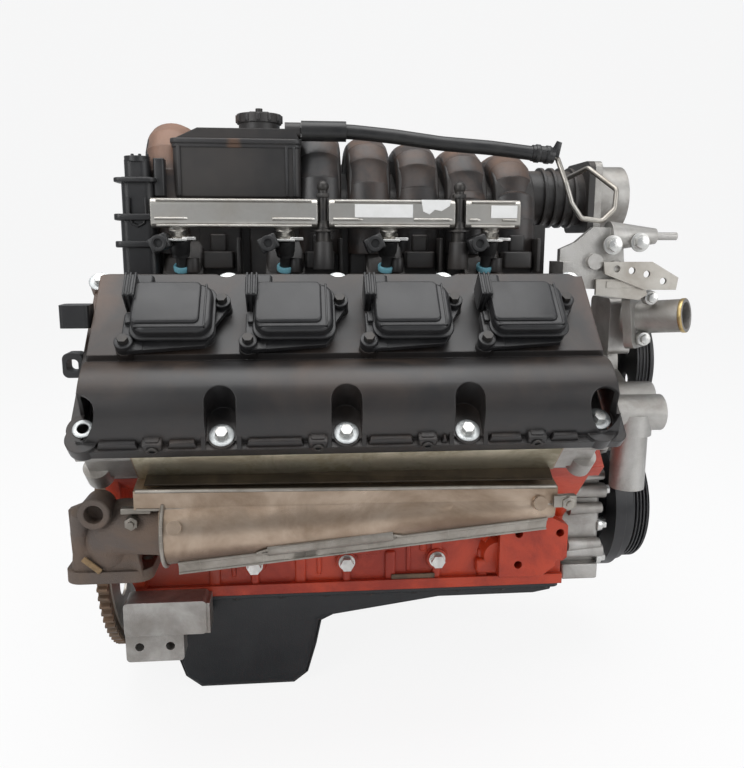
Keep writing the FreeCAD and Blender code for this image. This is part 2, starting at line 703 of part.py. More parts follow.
def camshaft():
    pieces = [rod(V(4, 0, CAM_Z), X, 14, SPROCKET_X - 4)]
    for x in MAIN_X:
        pieces.append(rod(V(x - BULKHEAD / 2, 0, CAM_Z), X, CAM_JOURNAL_R, BULKHEAD))
    lobe_angle = 0
    for bank_shift in (0, BANK_OFFSET):
        for x in CYLINDER_X:
            for step in (-LIFTER_STEP, LIFTER_STEP):
                lobe_angle += LOBE_STEP + 22.5
                x0 = x + bank_shift + step - LOBE_WIDTH / 2
                rise = CAM_BASE_R + CAM_LIFT - LOBE_NOSE_R
                base = rod(V(x0, 0, 0), X, CAM_BASE_R, LOBE_WIDTH)
                nose = rod(V(x0, 0, rise), X, LOBE_NOSE_R, LOBE_WIDTH)
                lean = math.acos((CAM_BASE_R - LOBE_NOSE_R) / rise)
                flank = [(CAM_BASE_R * math.sin(lean), CAM_BASE_R * math.cos(lean)),
                         (LOBE_NOSE_R * math.sin(lean), rise + LOBE_NOSE_R * math.cos(lean))]
                side = [(-y, z) for y, z in reversed(flank)]
                lobe = fuse([base, nose, slab_x(flank + side, x0, x0 + LOBE_WIDTH)])
                lobe.rotate(ORIGIN, X, lobe_angle)
                lobe.translate(V(0, 0, CAM_Z))
                pieces.append(lobe)
    return fuse(pieces)


def sprocket(z, radius, teeth, bore, hub):
    """Chain wheel about a line parallel to X, with round tooth gaps."""
    wheel = rod(V(SPROCKET_X, 0, 0), X, radius, SPROCKET_WIDTH)
    gap = math.pi * radius / teeth * 0.5
    gaps = []
    for i in range(teeth):
        a = 2 * math.pi * i / teeth
        gaps.append(rod(V(SPROCKET_X - 1, radius * math.sin(a), radius * math.cos(a)), X, gap,
                        SPROCKET_WIDTH + 2))
    body = cut(wheel, gaps).fuse(rod(V(SPROCKET_X, 0, 0), X, hub, SPROCKET_WIDTH + 3))
    body = body.cut(rod(V(SPROCKET_X - 1, 0, 0), X, bore, SPROCKET_WIDTH + 6))
    body.translate(V(0, 0, z))
    return body


def timing_chain():
    """Outer loop of the chain round both sprockets."""
    outline = []
    for grow in (CHAIN_HEIGHT + 1.5, 1.0):
        big, small = CAM_SPROCKET_R + grow, CRANK_SPROCKET_R + grow
        lean = math.asin((big - small) / CAM_Z)
        start, end = SPROCKET_X + 0.5, SPROCKET_WIDTH - 1
        wheel_a = rod(V(start, 0, CAM_Z), X, big, end)
        wheel_b = rod(V(start, 0, 0), X, small, end)
        c, s = math.cos(lean), math.sin(lean)
        web = slab_x([(big * c, CAM_Z + big * s), (small * c, small * s), (-small * c, small * s),
                      (-big * c, CAM_Z + big * s)], start, start + end)
        outline.append(fuse([wheel_a, wheel_b, web]))
    return outline[0].cut(outline[1])


def valve_axis(exhaust):
    """Foot point (out, up) and unit direction of a valve in the bank frame."""
    side = 1 if exhaust else -1
    a = math.radians(VALVE_TILT)
    return side * VALVE_SPREAD, (side * math.sin(a), math.cos(a))


def valve_set():
    valves, springs = [], []
    for x in CYLINDER_X:
        for exhaust, radius in ((False, INTAKE_VALVE_R), (True, EXHAUST_VALVE_R)):
            foot_out, (o, u) = valve_axis(exhaust)
            foot = bank_point(x, foot_out, HEAD_UP + 11)
            direction = bank_point(0, o, u)
            length = (VALVE_TIP_UP - HEAD_UP - 11) / u
            valves.append(turned([(0, 0.01), (0, radius), (2, radius), (6, radius - 6),
                                  (16, VALVE_STEM_R + 1), (24, VALVE_STEM_R), (length, VALVE_STEM_R),
                                  (length, 0.01)], foot, direction))
            seat = length - SPRING_HEIGHT
            ridges = [(SPRING_FOOT, SPRING_R - 5)]
            for turn in range(SPRING_TURNS):
                a = SPRING_FOOT + turn * SPRING_PITCH
                ridges += [(a, SPRING_R - 2.5), (a + SPRING_PITCH / 2, SPRING_R)]
            ridges += [(SPRING_FOOT + SPRING_TURNS * SPRING_PITCH, SPRING_R - 2.5),
                       (SPRING_FOOT + SPRING_TURNS * SPRING_PITCH, SPRING_R - 5)]
            coil = turned(ridges, foot + direction * seat, direction)
            retainer = tube(foot + direction * (length - 8), direction, SPRING_R + 1, VALVE_STEM_R + 0.1, 5)
            springs += [coil, retainer]
    return valves, springs


def rocker_set():
    rockers, shafts = [], []
    arms = ((-LIFTER_STEP, INTAKE_SHAFT, INTAKE_CUP, False),
            (EXHAUST_CUP_STEP, EXHAUST_SHAFT, EXHAUST_CUP, True))
    for cup_step, shaft, cup, exhaust in arms:
        foot_out, (o, u) = valve_axis(exhaust)
        reach = (VALVE_TIP_UP - HEAD_UP - 11) / u
        tip = (foot_out + o * reach, VALVE_TIP_UP)
        shafts.append(rod(bank_point(HEAD_START + 12, *shaft), X, SHAFT_R, HEAD_END - HEAD_START - 24))
        for x in CYLINDER_X:
            cup_x = x + cup_step
            hub = rod(bank_point(min(x, cup_x) - 8, *shaft), X, HUB_R, abs(cup_step) + 16)
            nose = bank_slab([(shaft[0], shaft[1] + 9), (tip[0] + 5, tip[1] + 9), (tip[0] + 5, tip[1] + 0.3),
                              (tip[0] - 5, tip[1] + 0.3), (shaft[0], shaft[1] - 4)], x - 5.5, x + 5.5)
            tail = bank_slab([(shaft[0], shaft[1] + 9), (cup[0] - 4, cup[1] + 9), (cup[0] - 4, cup[1] + 0.3),
                              (cup[0] + 5, cup[1] + 0.3), (shaft[0], shaft[1] - 4)], cup_x - 6, cup_x + 6)
            bore = rod(bank_point(x - 60, *shaft), X, SHAFT_R + 0.1, 120)
            rockers.append(fuse([hub, nose, tail]).cut(bore))
    stands = []
    stand_x = [HEAD_START + 22] + [x + BORE_SPACING / 2 for x in CYLINDER_X[:-1]] + [CYLINDER_X[-1] + 60]
    for shaft in (INTAKE_SHAFT, EXHAUST_SHAFT):
        for x in stand_x:
            foot = bank_box(x - 7, x + 7, shaft[0] - 9, shaft[0] + 9, RAIL_UP - 14, shaft[1])
            bore = rod(bank_point(x - 20, *shaft), X, SHAFT_R + 0.05, 40)
            stands.append(foot.fuse(rod(bank_point(x - 7, *shaft), X, HUB_R, 14)).cut(bore))
    return rockers, shafts, stands


def valve_gear():
    lifters, pushrods, rockers, shafts, valves, springs = [], [], [], [], [], []
    for turn in (right, left):
        for start, direction, cup in lifter_lines():
            body = rod(start + direction * LIFTER_BOTTOM, direction, LIFTER_D / 2, LIFTER_LENGTH)
            lifters.append(turn(body))
            foot = start + direction * LIFTER_TOP
            along = (cup - foot).normalize()
            reach = (cup - foot).Length - 1
            shank = tube(foot + along * 1.2, along, PUSHROD_R, 1.5, reach - 1.2)
            pushrods.append(turn(shank))
        some_rockers, some_shafts, some_stands = rocker_set()
        rockers += [turn(r) for r in some_rockers]
        shafts += [turn(s) for s in some_shafts + some_stands]
        some_valves, some_springs = valve_set()
        valves += [turn(v) for v in some_valves]
        springs += [turn(s) for s in some_springs]
    return lifters, pushrods, rockers, shafts, valves, springs


# ---- cylinder heads and what sits on them ----------------------------------


def cylinder_head():
    outline = [(-DECK_INNER, HEAD_UP), (HEAD_LOW_OUT, HEAD_UP), (HEAD_LOW_OUT, HEAD_UP + 14),
               (HEAD_OUT, HEAD_UP + 30), (HEAD_OUT, RAIL_UP - 12), (COVER_OUT - 4, RAIL_UP - 12),
               (COVER_OUT - 4, RAIL_UP), (-DECK_INNER, RAIL_UP)]
    head = bank_slab(outline, HEAD_START, HEAD_END)
    ears = [rod(bank_point(x, EAR_OUT, HEAD_UP + 20), UP, 13, 22) for x in (HEAD_START + 6, HEAD_END - 6)]
    port_pads = [bank_box(x - 30, x + 30, HEAD_OUT - 4, HEAD_OUT + 4, EXHAUST_PORT_UP - 24,
                          EXHAUST_PORT_UP + 24) for x in CYLINDER_X]
    head = fuse([head] + ears + port_pads)
    tools = []
    rocker_floor = bank_box(HEAD_START + 10, HEAD_END - 10, -DECK_INNER + 10, HEAD_OUT - 10,
                            RAIL_UP - 14, RAIL_UP + 1)
    tools.append(rocker_floor)
    for x in CYLINDER_X:
        dome = Part.makeSphere(78, bank_point(x, 0, HEAD_UP - 58))
        tools.append(dome.common(rod(bank_point(x, 0, HEAD_UP - 1), UP, BORE / 2, 40)))
        for exhaust, radius in ((False, INTAKE_VALVE_R), (True, EXHAUST_VALVE_R)):
            foot_out, (o, u) = valve_axis(exhaust)
            foot = bank_point(x, foot_out, HEAD_UP + 11)
            direction = bank_point(0, o, u)
            tools.append(rod(foot - direction * 14, direction, radius + 0.4, 22))
            tools.append(rod(foot, direction, VALVE_STEM_R + 0.1, 120))
            bowl = bank_point(x, foot_out + o * 34, HEAD_UP + 11 + u * 34)
            pocket = (VALVE_TIP_UP - HEAD_UP - 11) / u - SPRING_HEIGHT
            tools.append(rod(foot + direction * pocket, direction, SPRING_R + 1.5, SPRING_HEIGHT + 10))
            tools.append(rod(foot, direction, radius - 3, 30))
            mouth = bank_point(x, (HEAD_OUT + 6) if exhaust else (-DECK_INNER - 1),
                               EXHAUST_PORT_UP if exhaust else PORT_UP)
            span = mouth - bowl
            tools.append(rod(bowl, span, 17 if exhaust else 18, span.Length))
        for step in (-PLUG_STEP, PLUG_STEP):
            tools.append(rod(bank_point(x + step, 0, PLUG_SEAT_UP), UP, WELL_R - 1.5, 100))
            tools.append(rod(bank_point(x + step, 0, HEAD_UP), UP, 7.05, 60))
    for start, direction, cup in lifter_lines():
        tools.append(pushrod_passage(start, direction, cup))
    for x in (HEAD_START + 6, HEAD_END - 6):
        tools.append(rod(bank_point(x, EAR_OUT, HEAD_UP + 10), UP, 5.5, 30))
    for x, outboard in cover_bolt_places():
        tools.append(hole(bank_point(x, outboard, RAIL_UP), UP, 3, 18))
    return cut(head, tools)


def cover_bolt_places():
    lower = [(x, LOWER_BOLT_OUT) for x in LOWER_BOLT_X] + [(EAR_X[1], EAR_OUT)]
    return lower + [(x, UPPER_BOLT_OUT) for x in UPPER_BOLT_X]


def cover_section(inset):
    """Closed outline of the cover above its rail: shelf, crease, then the bulge."""
    floor = RAIL_UP - 1 if inset else RAIL_UP
    shelf = RAIL_UP + COVER_SHELF - inset
    bulge_c = (60.0, RAIL_UP + COVER_BULGE - 43.0)
    bulge_r = 43.0 - inset
    inner = -COVER_IN + 9 + inset
    crease_out = 24.0
    a0 = math.acos(max(-1.0, (crease_out - bulge_c[0]) / bulge_r))
    crease = (bulge_c[0] + bulge_r * math.cos(a0), bulge_c[1] + bulge_r * math.sin(a0))
    foot = (bulge_c[0] + bulge_r, bulge_c[1])
    mid_a = a0 / 2
    mid = (bulge_c[0] + bulge_r * math.cos(mid_a), bulge_c[1] + bulge_r * math.sin(mid_a))
    p = [bank_point(0, *q) for q in ((inner, floor), (inner, shelf - 8), (inner + 8, shelf),
                                     (crease_out - 3, shelf), crease, mid, foot, (foot[0], floor))]
    edges = [Part.LineSegment(p[0], p[1]), Part.LineSegment(p[1], p[2]), Part.LineSegment(p[2], p[3]),
             Part.LineSegment(p[3], p[4]), Part.Arc(p[4], p[5], p[6]),
             Part.LineSegment(p[6], p[7]), Part.LineSegment(p[7], p[0])]
    return Part.Face(Part.Wire([e.toShape() for e in edges]))


def cover_shell(inset):
    """Cover body between end walls that lean inwards with the casting draft."""
    x0, x1 = COVER_START + 7 + inset, COVER_END - 7 - inset
    face = cover_section(inset)
    face.translate(V(x0, 0, 0))
    floor, top = RAIL_UP - 2, RAIL_UP + COVER_BULGE + 2
    draft = slab_y([(x0, floor), (x1, floor), (x1 - COVER_DRAFT, top), (x0 + COVER_DRAFT, top)],
                   -COVER_OUT, COVER_IN)
    return face.extrude(V(x1 - x0, 0, 0)).common(draft)


def bolt_pocket(x, radius, bottom):
    """Upright slot that lets a lower bolt stand in front of the bulge."""
    slot = rod(bank_point(x, POCKET_OUT, bottom), UP, radius, 60)
    return slot.fuse(bank_box(x - radius, x + radius, POCKET_OUT, COVER_OUT + 2, bottom, bottom + 60))


def cover_additions(filler):
    """Bosses, coil seats and clip blocks that stand on the cover shell."""
    added = []
    for x in EAR_X:
        added.append(rod(bank_point(x, LOWER_BOLT_OUT, RAIL_UP), UP, 15, COVER_RAIL + 3))
        added.append(rod(bank_point(x, EAR_OUT, RAIL_UP), UP, 15, COVER_RAIL + 3))
    for x in LOWER_BOLT_X:
        added.append(rod(bank_point(x, LOWER_BOLT_OUT, RAIL_UP), UP, 13, COVER_RAIL + 3))
        for s in (-1, 1):
            rib = [V(x + s * POCKET_R, -POCKET_OUT, RAIL_UP + COVER_RAIL),
                   V(x + s * POCKET_R, -COVER_OUT, RAIL_UP + COVER_RAIL),
                   V(x + s * POCKET_R, -POCKET_OUT, RAIL_UP + COVER_RAIL + 30)]
            added.append(plate(rib, V(s * 4, 0, 0)))
    for x in WIRING_X:
        clip = soft_box(x - 6.5, x + 6.5, -WIRING_OUT - 6, -WIRING_OUT + 8, RAIL_UP, RAIL_UP + WIRING_UP, 2)
        added.append(clip.cut(rod(bank_point(x, WIRING_OUT + 8, RAIL_UP + WIRING_UP - 6), IN, 2.6, 10)))
    for x in UPPER_BOLT_X:
        added.append(rod(bank_point(x, UPPER_BOLT_OUT, RAIL_UP), UP, 11, COVER_RAIL + 3))
    for x in CYLINDER_X:
        c = x + COIL_SHIFT
        added.append(soft_box(c - COIL_HALF_X, c + COIL_HALF_X, -COIL_OUT[1], -COIL_OUT[0],
                              RAIL_UP + 8, RAIL_UP + COVER_SHELF + 6, 12))
        for dx, outboard in COIL_SCREWS:
            added.append(rod(bank_point(c + dx, outboard, RAIL_UP + COVER_SHELF - 16), UP, 9, 22))
    if filler:
        added.append(rod(bank_point(FILLER_X, FILLER_OUT, RAIL_UP + COVER_SHELF - 8), UP, FILLER_R - 2, 20))
    return added


def valve_cover(filler):
    rail = soft_box(COVER_START, COVER_END, -COVER_OUT, COVER_IN, RAIL_UP, RAIL_UP + COVER_RAIL, 9)
    body = fuse([cover_shell(0), rail] + cover_additions(filler))
    floor = RAIL_UP + COVER_RAIL
    walls = [bolt_pocket(x, POCKET_R + 3, RAIL_UP - 2) for x in LOWER_BOLT_X]
    tools = [cut(cover_shell(COVER_WALL), walls)]
    tools += [bolt_pocket(x, POCKET_R, floor + 3) for x in LOWER_BOLT_X]
    tools += [rod(bank_point(x, EAR_OUT, floor + 3), UP, 15, 60) for x in EAR_X]
    for x, outboard in cover_bolt_places():
        tools.append(rod(bank_point(x, outboard, RAIL_UP - 1), UP, 3.3, 30))
    for x in UPPER_BOLT_X:
        tools.append(rod(bank_point(x, UPPER_BOLT_OUT, floor + 3), UP, 13.5, 40))
    tools.append(rod(bank_point(EAR_X[0], EAR_OUT, RAIL_UP - 1), UP, COVER_HOLE_R + 1.5, 40))
    for x in CYLINDER_X:
        for step in (-PLUG_STEP, PLUG_STEP):
            tools.append(rod(bank_point(x + step, 0, RAIL_UP - 1), UP, WELL_R - 2.5, 80))
        c = x + COIL_SHIFT
        for dx, outboard in COIL_SCREWS:
            tools.append(rod(bank_point(c + dx, outboard, RAIL_UP + COVER_SHELF - 8), UP, 3.2, 30))
    if filler:
        tools.append(rod(bank_point(FILLER_X, FILLER_OUT, RAIL_UP + 10), UP, FILLER_R - 6, 60))
    body = cut(body, tools)
    wells = [tube(bank_point(x + step, 0, RAIL_UP - 10), UP, WELL_R - 0.5, WELL_R - 2.5, COVER_SHELF + 10)
             for x in CYLINDER_X for step in (-PLUG_STEP, PLUG_STEP)]
    return fuse([body] + wells)


def ignition_coil(x):
    """Rounded cap, screw ears, plug-side boots and the connector tower."""
    c = x + COIL_SHIFT
    base = RAIL_UP + COVER_SHELF + 6
    cap = soft_box(c - COIL_HALF_X, c + COIL_HALF_X, -COIL_OUT[1], -COIL_OUT[0], base,
                   RAIL_UP + COIL_TOP, 14)
    cap = rounded(cap, 5, lambda e: e.BoundBox.ZMin > RAIL_UP + COIL_TOP - 0.5)
    lip = soft_box(c - COIL_HALF_X - 2, c + COIL_HALF_X + 2, -COIL_OUT[1] - 2, -COIL_OUT[0] + 2,
                   base, base + 4, 15)
    pieces = [cap, lip]
    for dx, outboard in COIL_SCREWS:
        pieces.append(rod(bank_point(c + dx, outboard, base), UP, 8.5, 8))
        toward = bank_box(*sorted((c + dx, c + dx * 0.6)), outboard - 7, outboard + 7, base, base + 6)
        pieces.append(toward)
    tower_x = c - COIL_HALF_X
    pieces.append(soft_box(tower_x - 6, tower_x + 16, -COIL_OUT[0] - 8, -COIL_OUT[0] + 14, base,
                           base + 17, 4, Y))
    body = fuse(pieces)
    tools = [rod(bank_point(c + dx, o, base - 10), UP, 3.3, 40) for dx, o in COIL_SCREWS]
    tools.append(box(tower_x - 3, tower_x + 13, -COIL_OUT[0] + 3, -COIL_OUT[0] + 15, base + 3, base + 14))
    body = cut(body, tools)
    boots = [rod(bank_point(x + s, 0, 298), UP, WELL_R - 4, base - 298 + 1) for s in (-PLUG_STEP, PLUG_STEP)]
    return fuse([body] + boots)


def spark_plug(x):
    seat = bank_point(x, 0, PLUG_SEAT_UP)
    thread = rod(seat - UP * 22, UP, 6.9, 22)
    hexed = hexagon(seat, UP, 16, 10)
    neck = rod(seat + UP * 10, UP, 5.5, 20)
    tip = rod(seat + UP * 30, UP, 3, 5.7)
    return fuse([thread, hexed, neck, tip])


def head_gasket():
    sheet = bank_box(HEAD_START + 2, HEAD_END - 2, -DECK_INNER, HEAD_LOW_OUT, DECK_HEIGHT, HEAD_UP)
    tools = [rod(bank_point(x, 0, DECK_HEIGHT - 1), UP, BORE / 2 + 0.5, 4) for x in CYLINDER_X]
    for start, direction, cup in lifter_lines():
        tools.append(pushrod_passage(start, direction, cup))
    return cut(sheet, tools)


def cover_bolts():
    bolts = []
    for turn in (right, left):
        for x, outboard in cover_bolt_places():
            seat = bank_point(x, outboard, RAIL_UP + COVER_RAIL + 3)
            bolts.append(turn(bolt(seat, UP, 10, 3.0, 30, 6)))
    return bolts


def coil_set():
    coils, screws, plugs = [], [], []
    for turn in (right, left):
        for x in CYLINDER_X:
            coils.append(turn(ignition_coil(x)))
            for dx, outboard in COIL_SCREWS:
                seat = bank_point(x + COIL_SHIFT + dx, outboard, COIL_SCREW_UP)
                screws.append(turn(bolt(seat, UP, 9, 3.0, 17, 6)))
            for step in (-PLUG_STEP, PLUG_STEP):
                plugs.append(turn(spark_plug(x + step)))
    return coils, screws, plugs


def filler_cap():
    seat = RAIL_UP + COVER_SHELF + 12 + RUNNING_GAP
    centre = bank_point(FILLER_X, FILLER_OUT, seat)
    cap = turned([(0, 0.01), (0, FILLER_R), (14, FILLER_R), (17, FILLER_R - 3), (17, 0.01)], centre, UP)
    grips = []
    for i in range(12):
        a = math.radians(30 * i)
        grips.append(rod(centre + V(FILLER_R * math.cos(a), FILLER_R * math.sin(a), 0), UP, 3, 14))
    plug = rod(bank_point(FILLER_X, FILLER_OUT, seat - 12), UP, FILLER_R - 6 - RUNNING_GAP, 13)
    return left(fuse([cut(cap, grips), plug]))


# ---- intake and fuel -------------------------------------------------------


def drum_outline(top, shrink=0):
    front, y_in = -DRUM_FRONT + shrink, 96 - shrink
    shoulder = 392.0
    crest = V(0, -24, top - shrink)
    left_foot, right_foot = V(0, front, 300), V(0, y_in, 300)
    crown = Part.BSplineCurve()
    crown.interpolate(Points=[V(0, front, shoulder), V(0, -86 + shrink, top - 18 - shrink), crest,
                              V(0, 62, top - 24 - shrink), V(0, y_in, shoulder - 10)],
                      InitialTangent=V(0, 0, 1), FinalTangent=V(0, 0, -1))
    edges = [Part.LineSegment(left_foot, crown.StartPoint).toShape(), crown.toShape(),
             Part.LineSegment(crown.EndPoint, right_foot).toShape(),
             Part.LineSegment(right_foot, left_foot).toShape()]
    return Part.Face(Part.Wire(edges))


def drum_centres():
    return [FIRST_BORE_X + DRUM_SHIFT + DRUM_PITCH * k for k in range(DRUM_COUNT)]


def intake_leg(x):
    """Runner foot from the head's inboard face up into the drum row."""
    low = to_right(x, -DECK_INNER - 0.1, PORT_UP - 24)
    high = to_right(x, -DECK_INNER - 0.1, PORT_UP + 24)
    outline = [(low.y, low.z), (high.y, high.z), (-126, high.z + 26), (-DRUM_FRONT + 2, 352),
               (-DRUM_FRONT + 2, 392), (-62, 392), (-62, 318), (low.y + 24, low.z + 24)]
    leg = slab_x(outline, x - LEG_HALF, x + LEG_HALF)
    return rounded(leg, 6, lambda e: runs_along(X)(e) is False and e.BoundBox.YMax < -100
                   and e.BoundBox.ZMin > high.z + 3)


def intake_manifold():
    pieces = []
    for centre, top in zip(drum_centres(), DRUM_TOPS):
        face = drum_outline(top)
        face.translate(V(centre - DRUM_WIDTH / 2, 0, 0))
        drum = face.extrude(V(DRUM_WIDTH, 0, 0))
        crest = [e for e in drum.Edges if e.BoundBox.XLength < 0.01 and e.BoundBox.ZMax > 310]
        pieces.append(drum.makeFillet(DRUM_EDGE, crest))
    first, last = drum_centres()[0], drum_centres()[-1]
    web = drum_outline(min(DRUM_TOPS) - 2, WEB_STEP)
    web.translate(V(first - DRUM_WIDTH / 2 + 4, 0, 0))
    pieces.append(web.extrude(V(last - first + DRUM_WIDTH - 8, 0, 0)))
    pieces.append(box(INTAKE_START + 4, INTAKE_END - 4, -92, 88, 292, 372))
    for x in CYLINDER_X:
        pieces.append(intake_leg(x))
        mirrored = intake_leg(x).mirror(ORIGIN, Y)
        mirrored.translate(V(BANK_OFFSET, 0, 0))
        pieces.append(mirrored)
    for turn in (right, left):
        pieces.append(turn(bank_box(INTAKE_START - 8, INTAKE_END - 28, -DECK_INNER - FLANGE_T,
                                    -DECK_INNER - 0.1, PORT_UP - 27, PORT_UP + 27)))
    pieces.append(rod(V(470, 0, THROTTLE_Z), X, NECK_R, THROTTLE_BACK - 470))
    for i in range(4):
        pieces.append(rod(V(512 + 13 * i, 0, THROTTLE_Z), X, NECK_R + 4, 4))
    flange = soft_box(THROTTLE_BACK - 8, THROTTLE_BACK, -44, 44, THROTTLE_Z - 44, THROTTLE_Z + 44, 12, X)
    pieces.append(flange)
    body = fuse(pieces)
    tools = [rod(V(440, 0, THROTTLE_Z), X, THROTTLE_BORE_R - 3, THROTTLE_BACK - 430)]
    tools.append(soft_box(INTAKE_START + 20, 484, -70, 62, 306, 386, 16, X))
    for turn in (right, left):
        for x in CYLINDER_X:
            mouth = bank_point(x, -DECK_INNER + 1, PORT_UP)
            tools.append(turn(rod(mouth, IN, 17, 20)))
    vent_seat = box(VENT_X[0] - RUNNING_GAP, VENT_X[1] + RUNNING_GAP, VENT_Y[0] - 10, VENT_Y[1] + RUNNING_GAP,
                    VENT_Z[0] - 0.01, VENT_Z[1] + 40)
    tools.append(vent_seat)
    for side, shift in ((-1, 0.0), (1, BANK_OFFSET)):
        for x in CYLINDER_X:
            foot, top = injector_line(x + shift, side)
            tools.append(rod(foot - (top - foot) * 0.1, top - foot, 6.3, 30))
    return cut(body, tools)


def injector_line(x, side):
    foot = V(x, -side * INJECTOR_FOOT[0], INJECTOR_FOOT[1])
    top = V(x, -side * INJECTOR_TOP[0], INJECTOR_TOP[1])
    return foot, top


def vent_chamber():
    body = soft_box(*VENT_X, *VENT_Y, *VENT_Z, 8)
    body = rounded(body, 3, lambda e: e.BoundBox.ZMax < VENT_Z[0] + 0.1)
    cavity = soft_box(VENT_X[0] + 3, VENT_X[1] - 3, VENT_Y[0] + 3, VENT_Y[1] - 3, VENT_Z[0] + 3,
                      VENT_Z[1] + 1, 6)
    return body.cut(cavity)


def vent_lid():
    x0, x1 = VENT_X[0] + 8, VENT_X[1] - 1
    low = [(x0 - 6, VENT_Z[1]), (x1, VENT_Z[1]), (x1 - 6, VENT_Z[1] + 12), (x0 + 20, VENT_Z[1] + 12)]
    lid = slab_y(low, VENT_Y[0] + 1, VENT_Y[1] - 1)
    top = VENT_Z[1] + 12
    boss = rod(V(161, -86, top - 2), Z, 23, 12)
    cap = rod(V(161, -86, top + 8), Z, 25, 10)
    pin = rod(V(161, -86, top + 17), Z, 4, 8)
    spigot = rod(V(190, HOSE_POINTS[0][1], HOSE_POINTS[0][2]), X, HOSE_BORE - 0.1, 34)
    collar = rod(V(190, HOSE_POINTS[0][1], HOSE_POINTS[0][2]), X, 9, HOSE_POINTS[0][0] - 190.2)
    return fuse([lid, boss, cap, pin, spigot, collar])


def vent_hose():
    route = [V(*p) for p in HOSE_POINTS]
    hose = hollow_pipe(route, HOSE_R, HOSE_BEND, HOSE_R - HOSE_BORE)
    sleeve = tube(route[0], X, SLEEVE_R, HOSE_R + 0.05, SLEEVE_LENGTH)
    return [hose, sleeve]


def runner_actuator():
    y0, y1 = -134.0, -DRUM_FRONT - RUNNING_GAP
    body = soft_box(11, 50, y0, y1, 302, 376, 9)
    collars = [soft_box(7, 52, y0 - 4, y1, z, z + 7, 10) for z in (345, 374)]
    upper = soft_box(13, 48, y0 + 2, y1, 380, 420, 9)
    socket = soft_box(17, 44, y0 + 3, y1, 418, 438, 9)
    unit = fuse([body, upper, socket] + collars)
    return unit.cut(soft_box(20, 41, y0 + 6, y1 - 3, 424, 440, 7))


def throttle_body():
    barrel = rod(V(THROTTLE_BACK + 0.05, 0, THROTTLE_Z), X, 40, THROTTLE_FACE - THROTTLE_BACK)
    flange = soft_box(THROTTLE_BACK + 0.05, THROTTLE_BACK + 9, -44, 44,
                      THROTTLE_Z - 44, THROTTLE_Z + 44, 12, X)
    motor = rod(V(THROTTLE_X - 18, 46, THROTTLE_Z - 22), X, 17, 34)
    case = soft_box(THROTTLE_X - 20, THROTTLE_X + 18, 36, 60, THROTTLE_Z - 36, THROTTLE_Z + 26, 8, Y)
    body = fuse([barrel, flange, case, motor])
    bore = rod(V(THROTTLE_BACK - 2, 0, THROTTLE_Z), X, THROTTLE_BORE_R, 60)
    shaft = rod(V(THROTTLE_X, -38, THROTTLE_Z), Y, 4.3, 74)
    holes = [rod(V(THROTTLE_BACK - 1, sy * 34, THROTTLE_Z + sz * 34), X, 3.4, 12)
             for sy in (-1, 1) for sz in (-1, 1)]
    return cut(body, [bore, shaft] + holes)


def throttle_blade():
    disc = rod(V(THROTTLE_X - 1.25, 0, THROTTLE_Z), X, THROTTLE_BORE_R - BLADE_GAP, 2.5)
    return disc.fuse(rod(V(THROTTLE_X, -36, THROTTLE_Z), Y, 4, 70))


def fuel_rail(side, shift):
    """Three boxed sections joined by narrow necks beside the studs, with a cup over each injector."""
    y = side * abs(RAIL_Y)
    z0, z1 = RAIL_Z
    ends = [RAIL_X[0]] + [x for gap in RAIL_BREAKS for x in gap] + [RAIL_X[1]]
    body, tools = [], []
    for x0, x1 in zip(ends[0::2], ends[1::2]):
        body.append(soft_box(x0 + shift, x1 + shift, y - 11, y + 11, z0, z1, 7, X))
        tools.append(soft_box(x0 + shift + 4, x1 + shift - 4, y - 8, y + 8, z0 + 3, z1 - 3, 5, X))
    y0, y1 = sorted((y - side * 11, y - side * 3.5))
    body.append(box(RAIL_X[0] + shift + 20, RAIL_X[1] + shift - 20, y0, y1, z0 + 6, z1 - 6))
    passage = V(RAIL_X[0] + shift + 30, y - side * 7.2, (z0 + z1) / 2)
    tools.append(rod(passage, X, 2.4, RAIL_X[1] - RAIL_X[0] - 60))
    for x in CYLINDER_X:
        foot, top = injector_line(x + shift, side)
        body.append(rod(top + (top - foot) * 0.06, foot - top, 9, 17))
        tools.append(rod(top, foot - top, 7.1, 16))
    return cut(fuse(body), tools)


def rail_stud(x, side):
    """Tall pillar on the intake foot, with a ball head above the rail."""
    y = side * (abs(RAIL_Y) + 2)
    pillar = rod(V(x, y, 322), Z, 8, RAIL_Z[0] - 322 - RUNNING_GAP)
    shank = rod(V(x, y, 340), Z, 5, 68)
    ball = Part.makeSphere(6.5, V(x, y, 410))
    foot = box(x - 8, x + 8, min(y, y - side * 34), max(y, y - side * 34), 322, 330)
    return fuse([pillar, shank, ball, foot])


def injector(x, side):
    foot, top = injector_line(x, side)
    along = (foot - top).normalize()
    upper = rod(top + along * 1, along, 6.9, 14)
    body = rod(top + along * 14.2, along, 9.5, 20)
    nozzle = rod(top + along * 30, along, 6.0, 22)
    return fuse([upper, body, nozzle])


def fuel_set():
    rails, injectors, studs = [], [], []
    for side, shift in ((-1, 0.0), (1, BANK_OFFSET)):
        rails.append(fuel_rail(side, shift))
        for x in CYLINDER_X:
            injectors.append(injector(x + shift, side))
        for x in STUD_X:
            studs.append(rail_stud(x + shift, side))
    return rails, injectors, studs


# ---- front end -------------------------------------------------------------


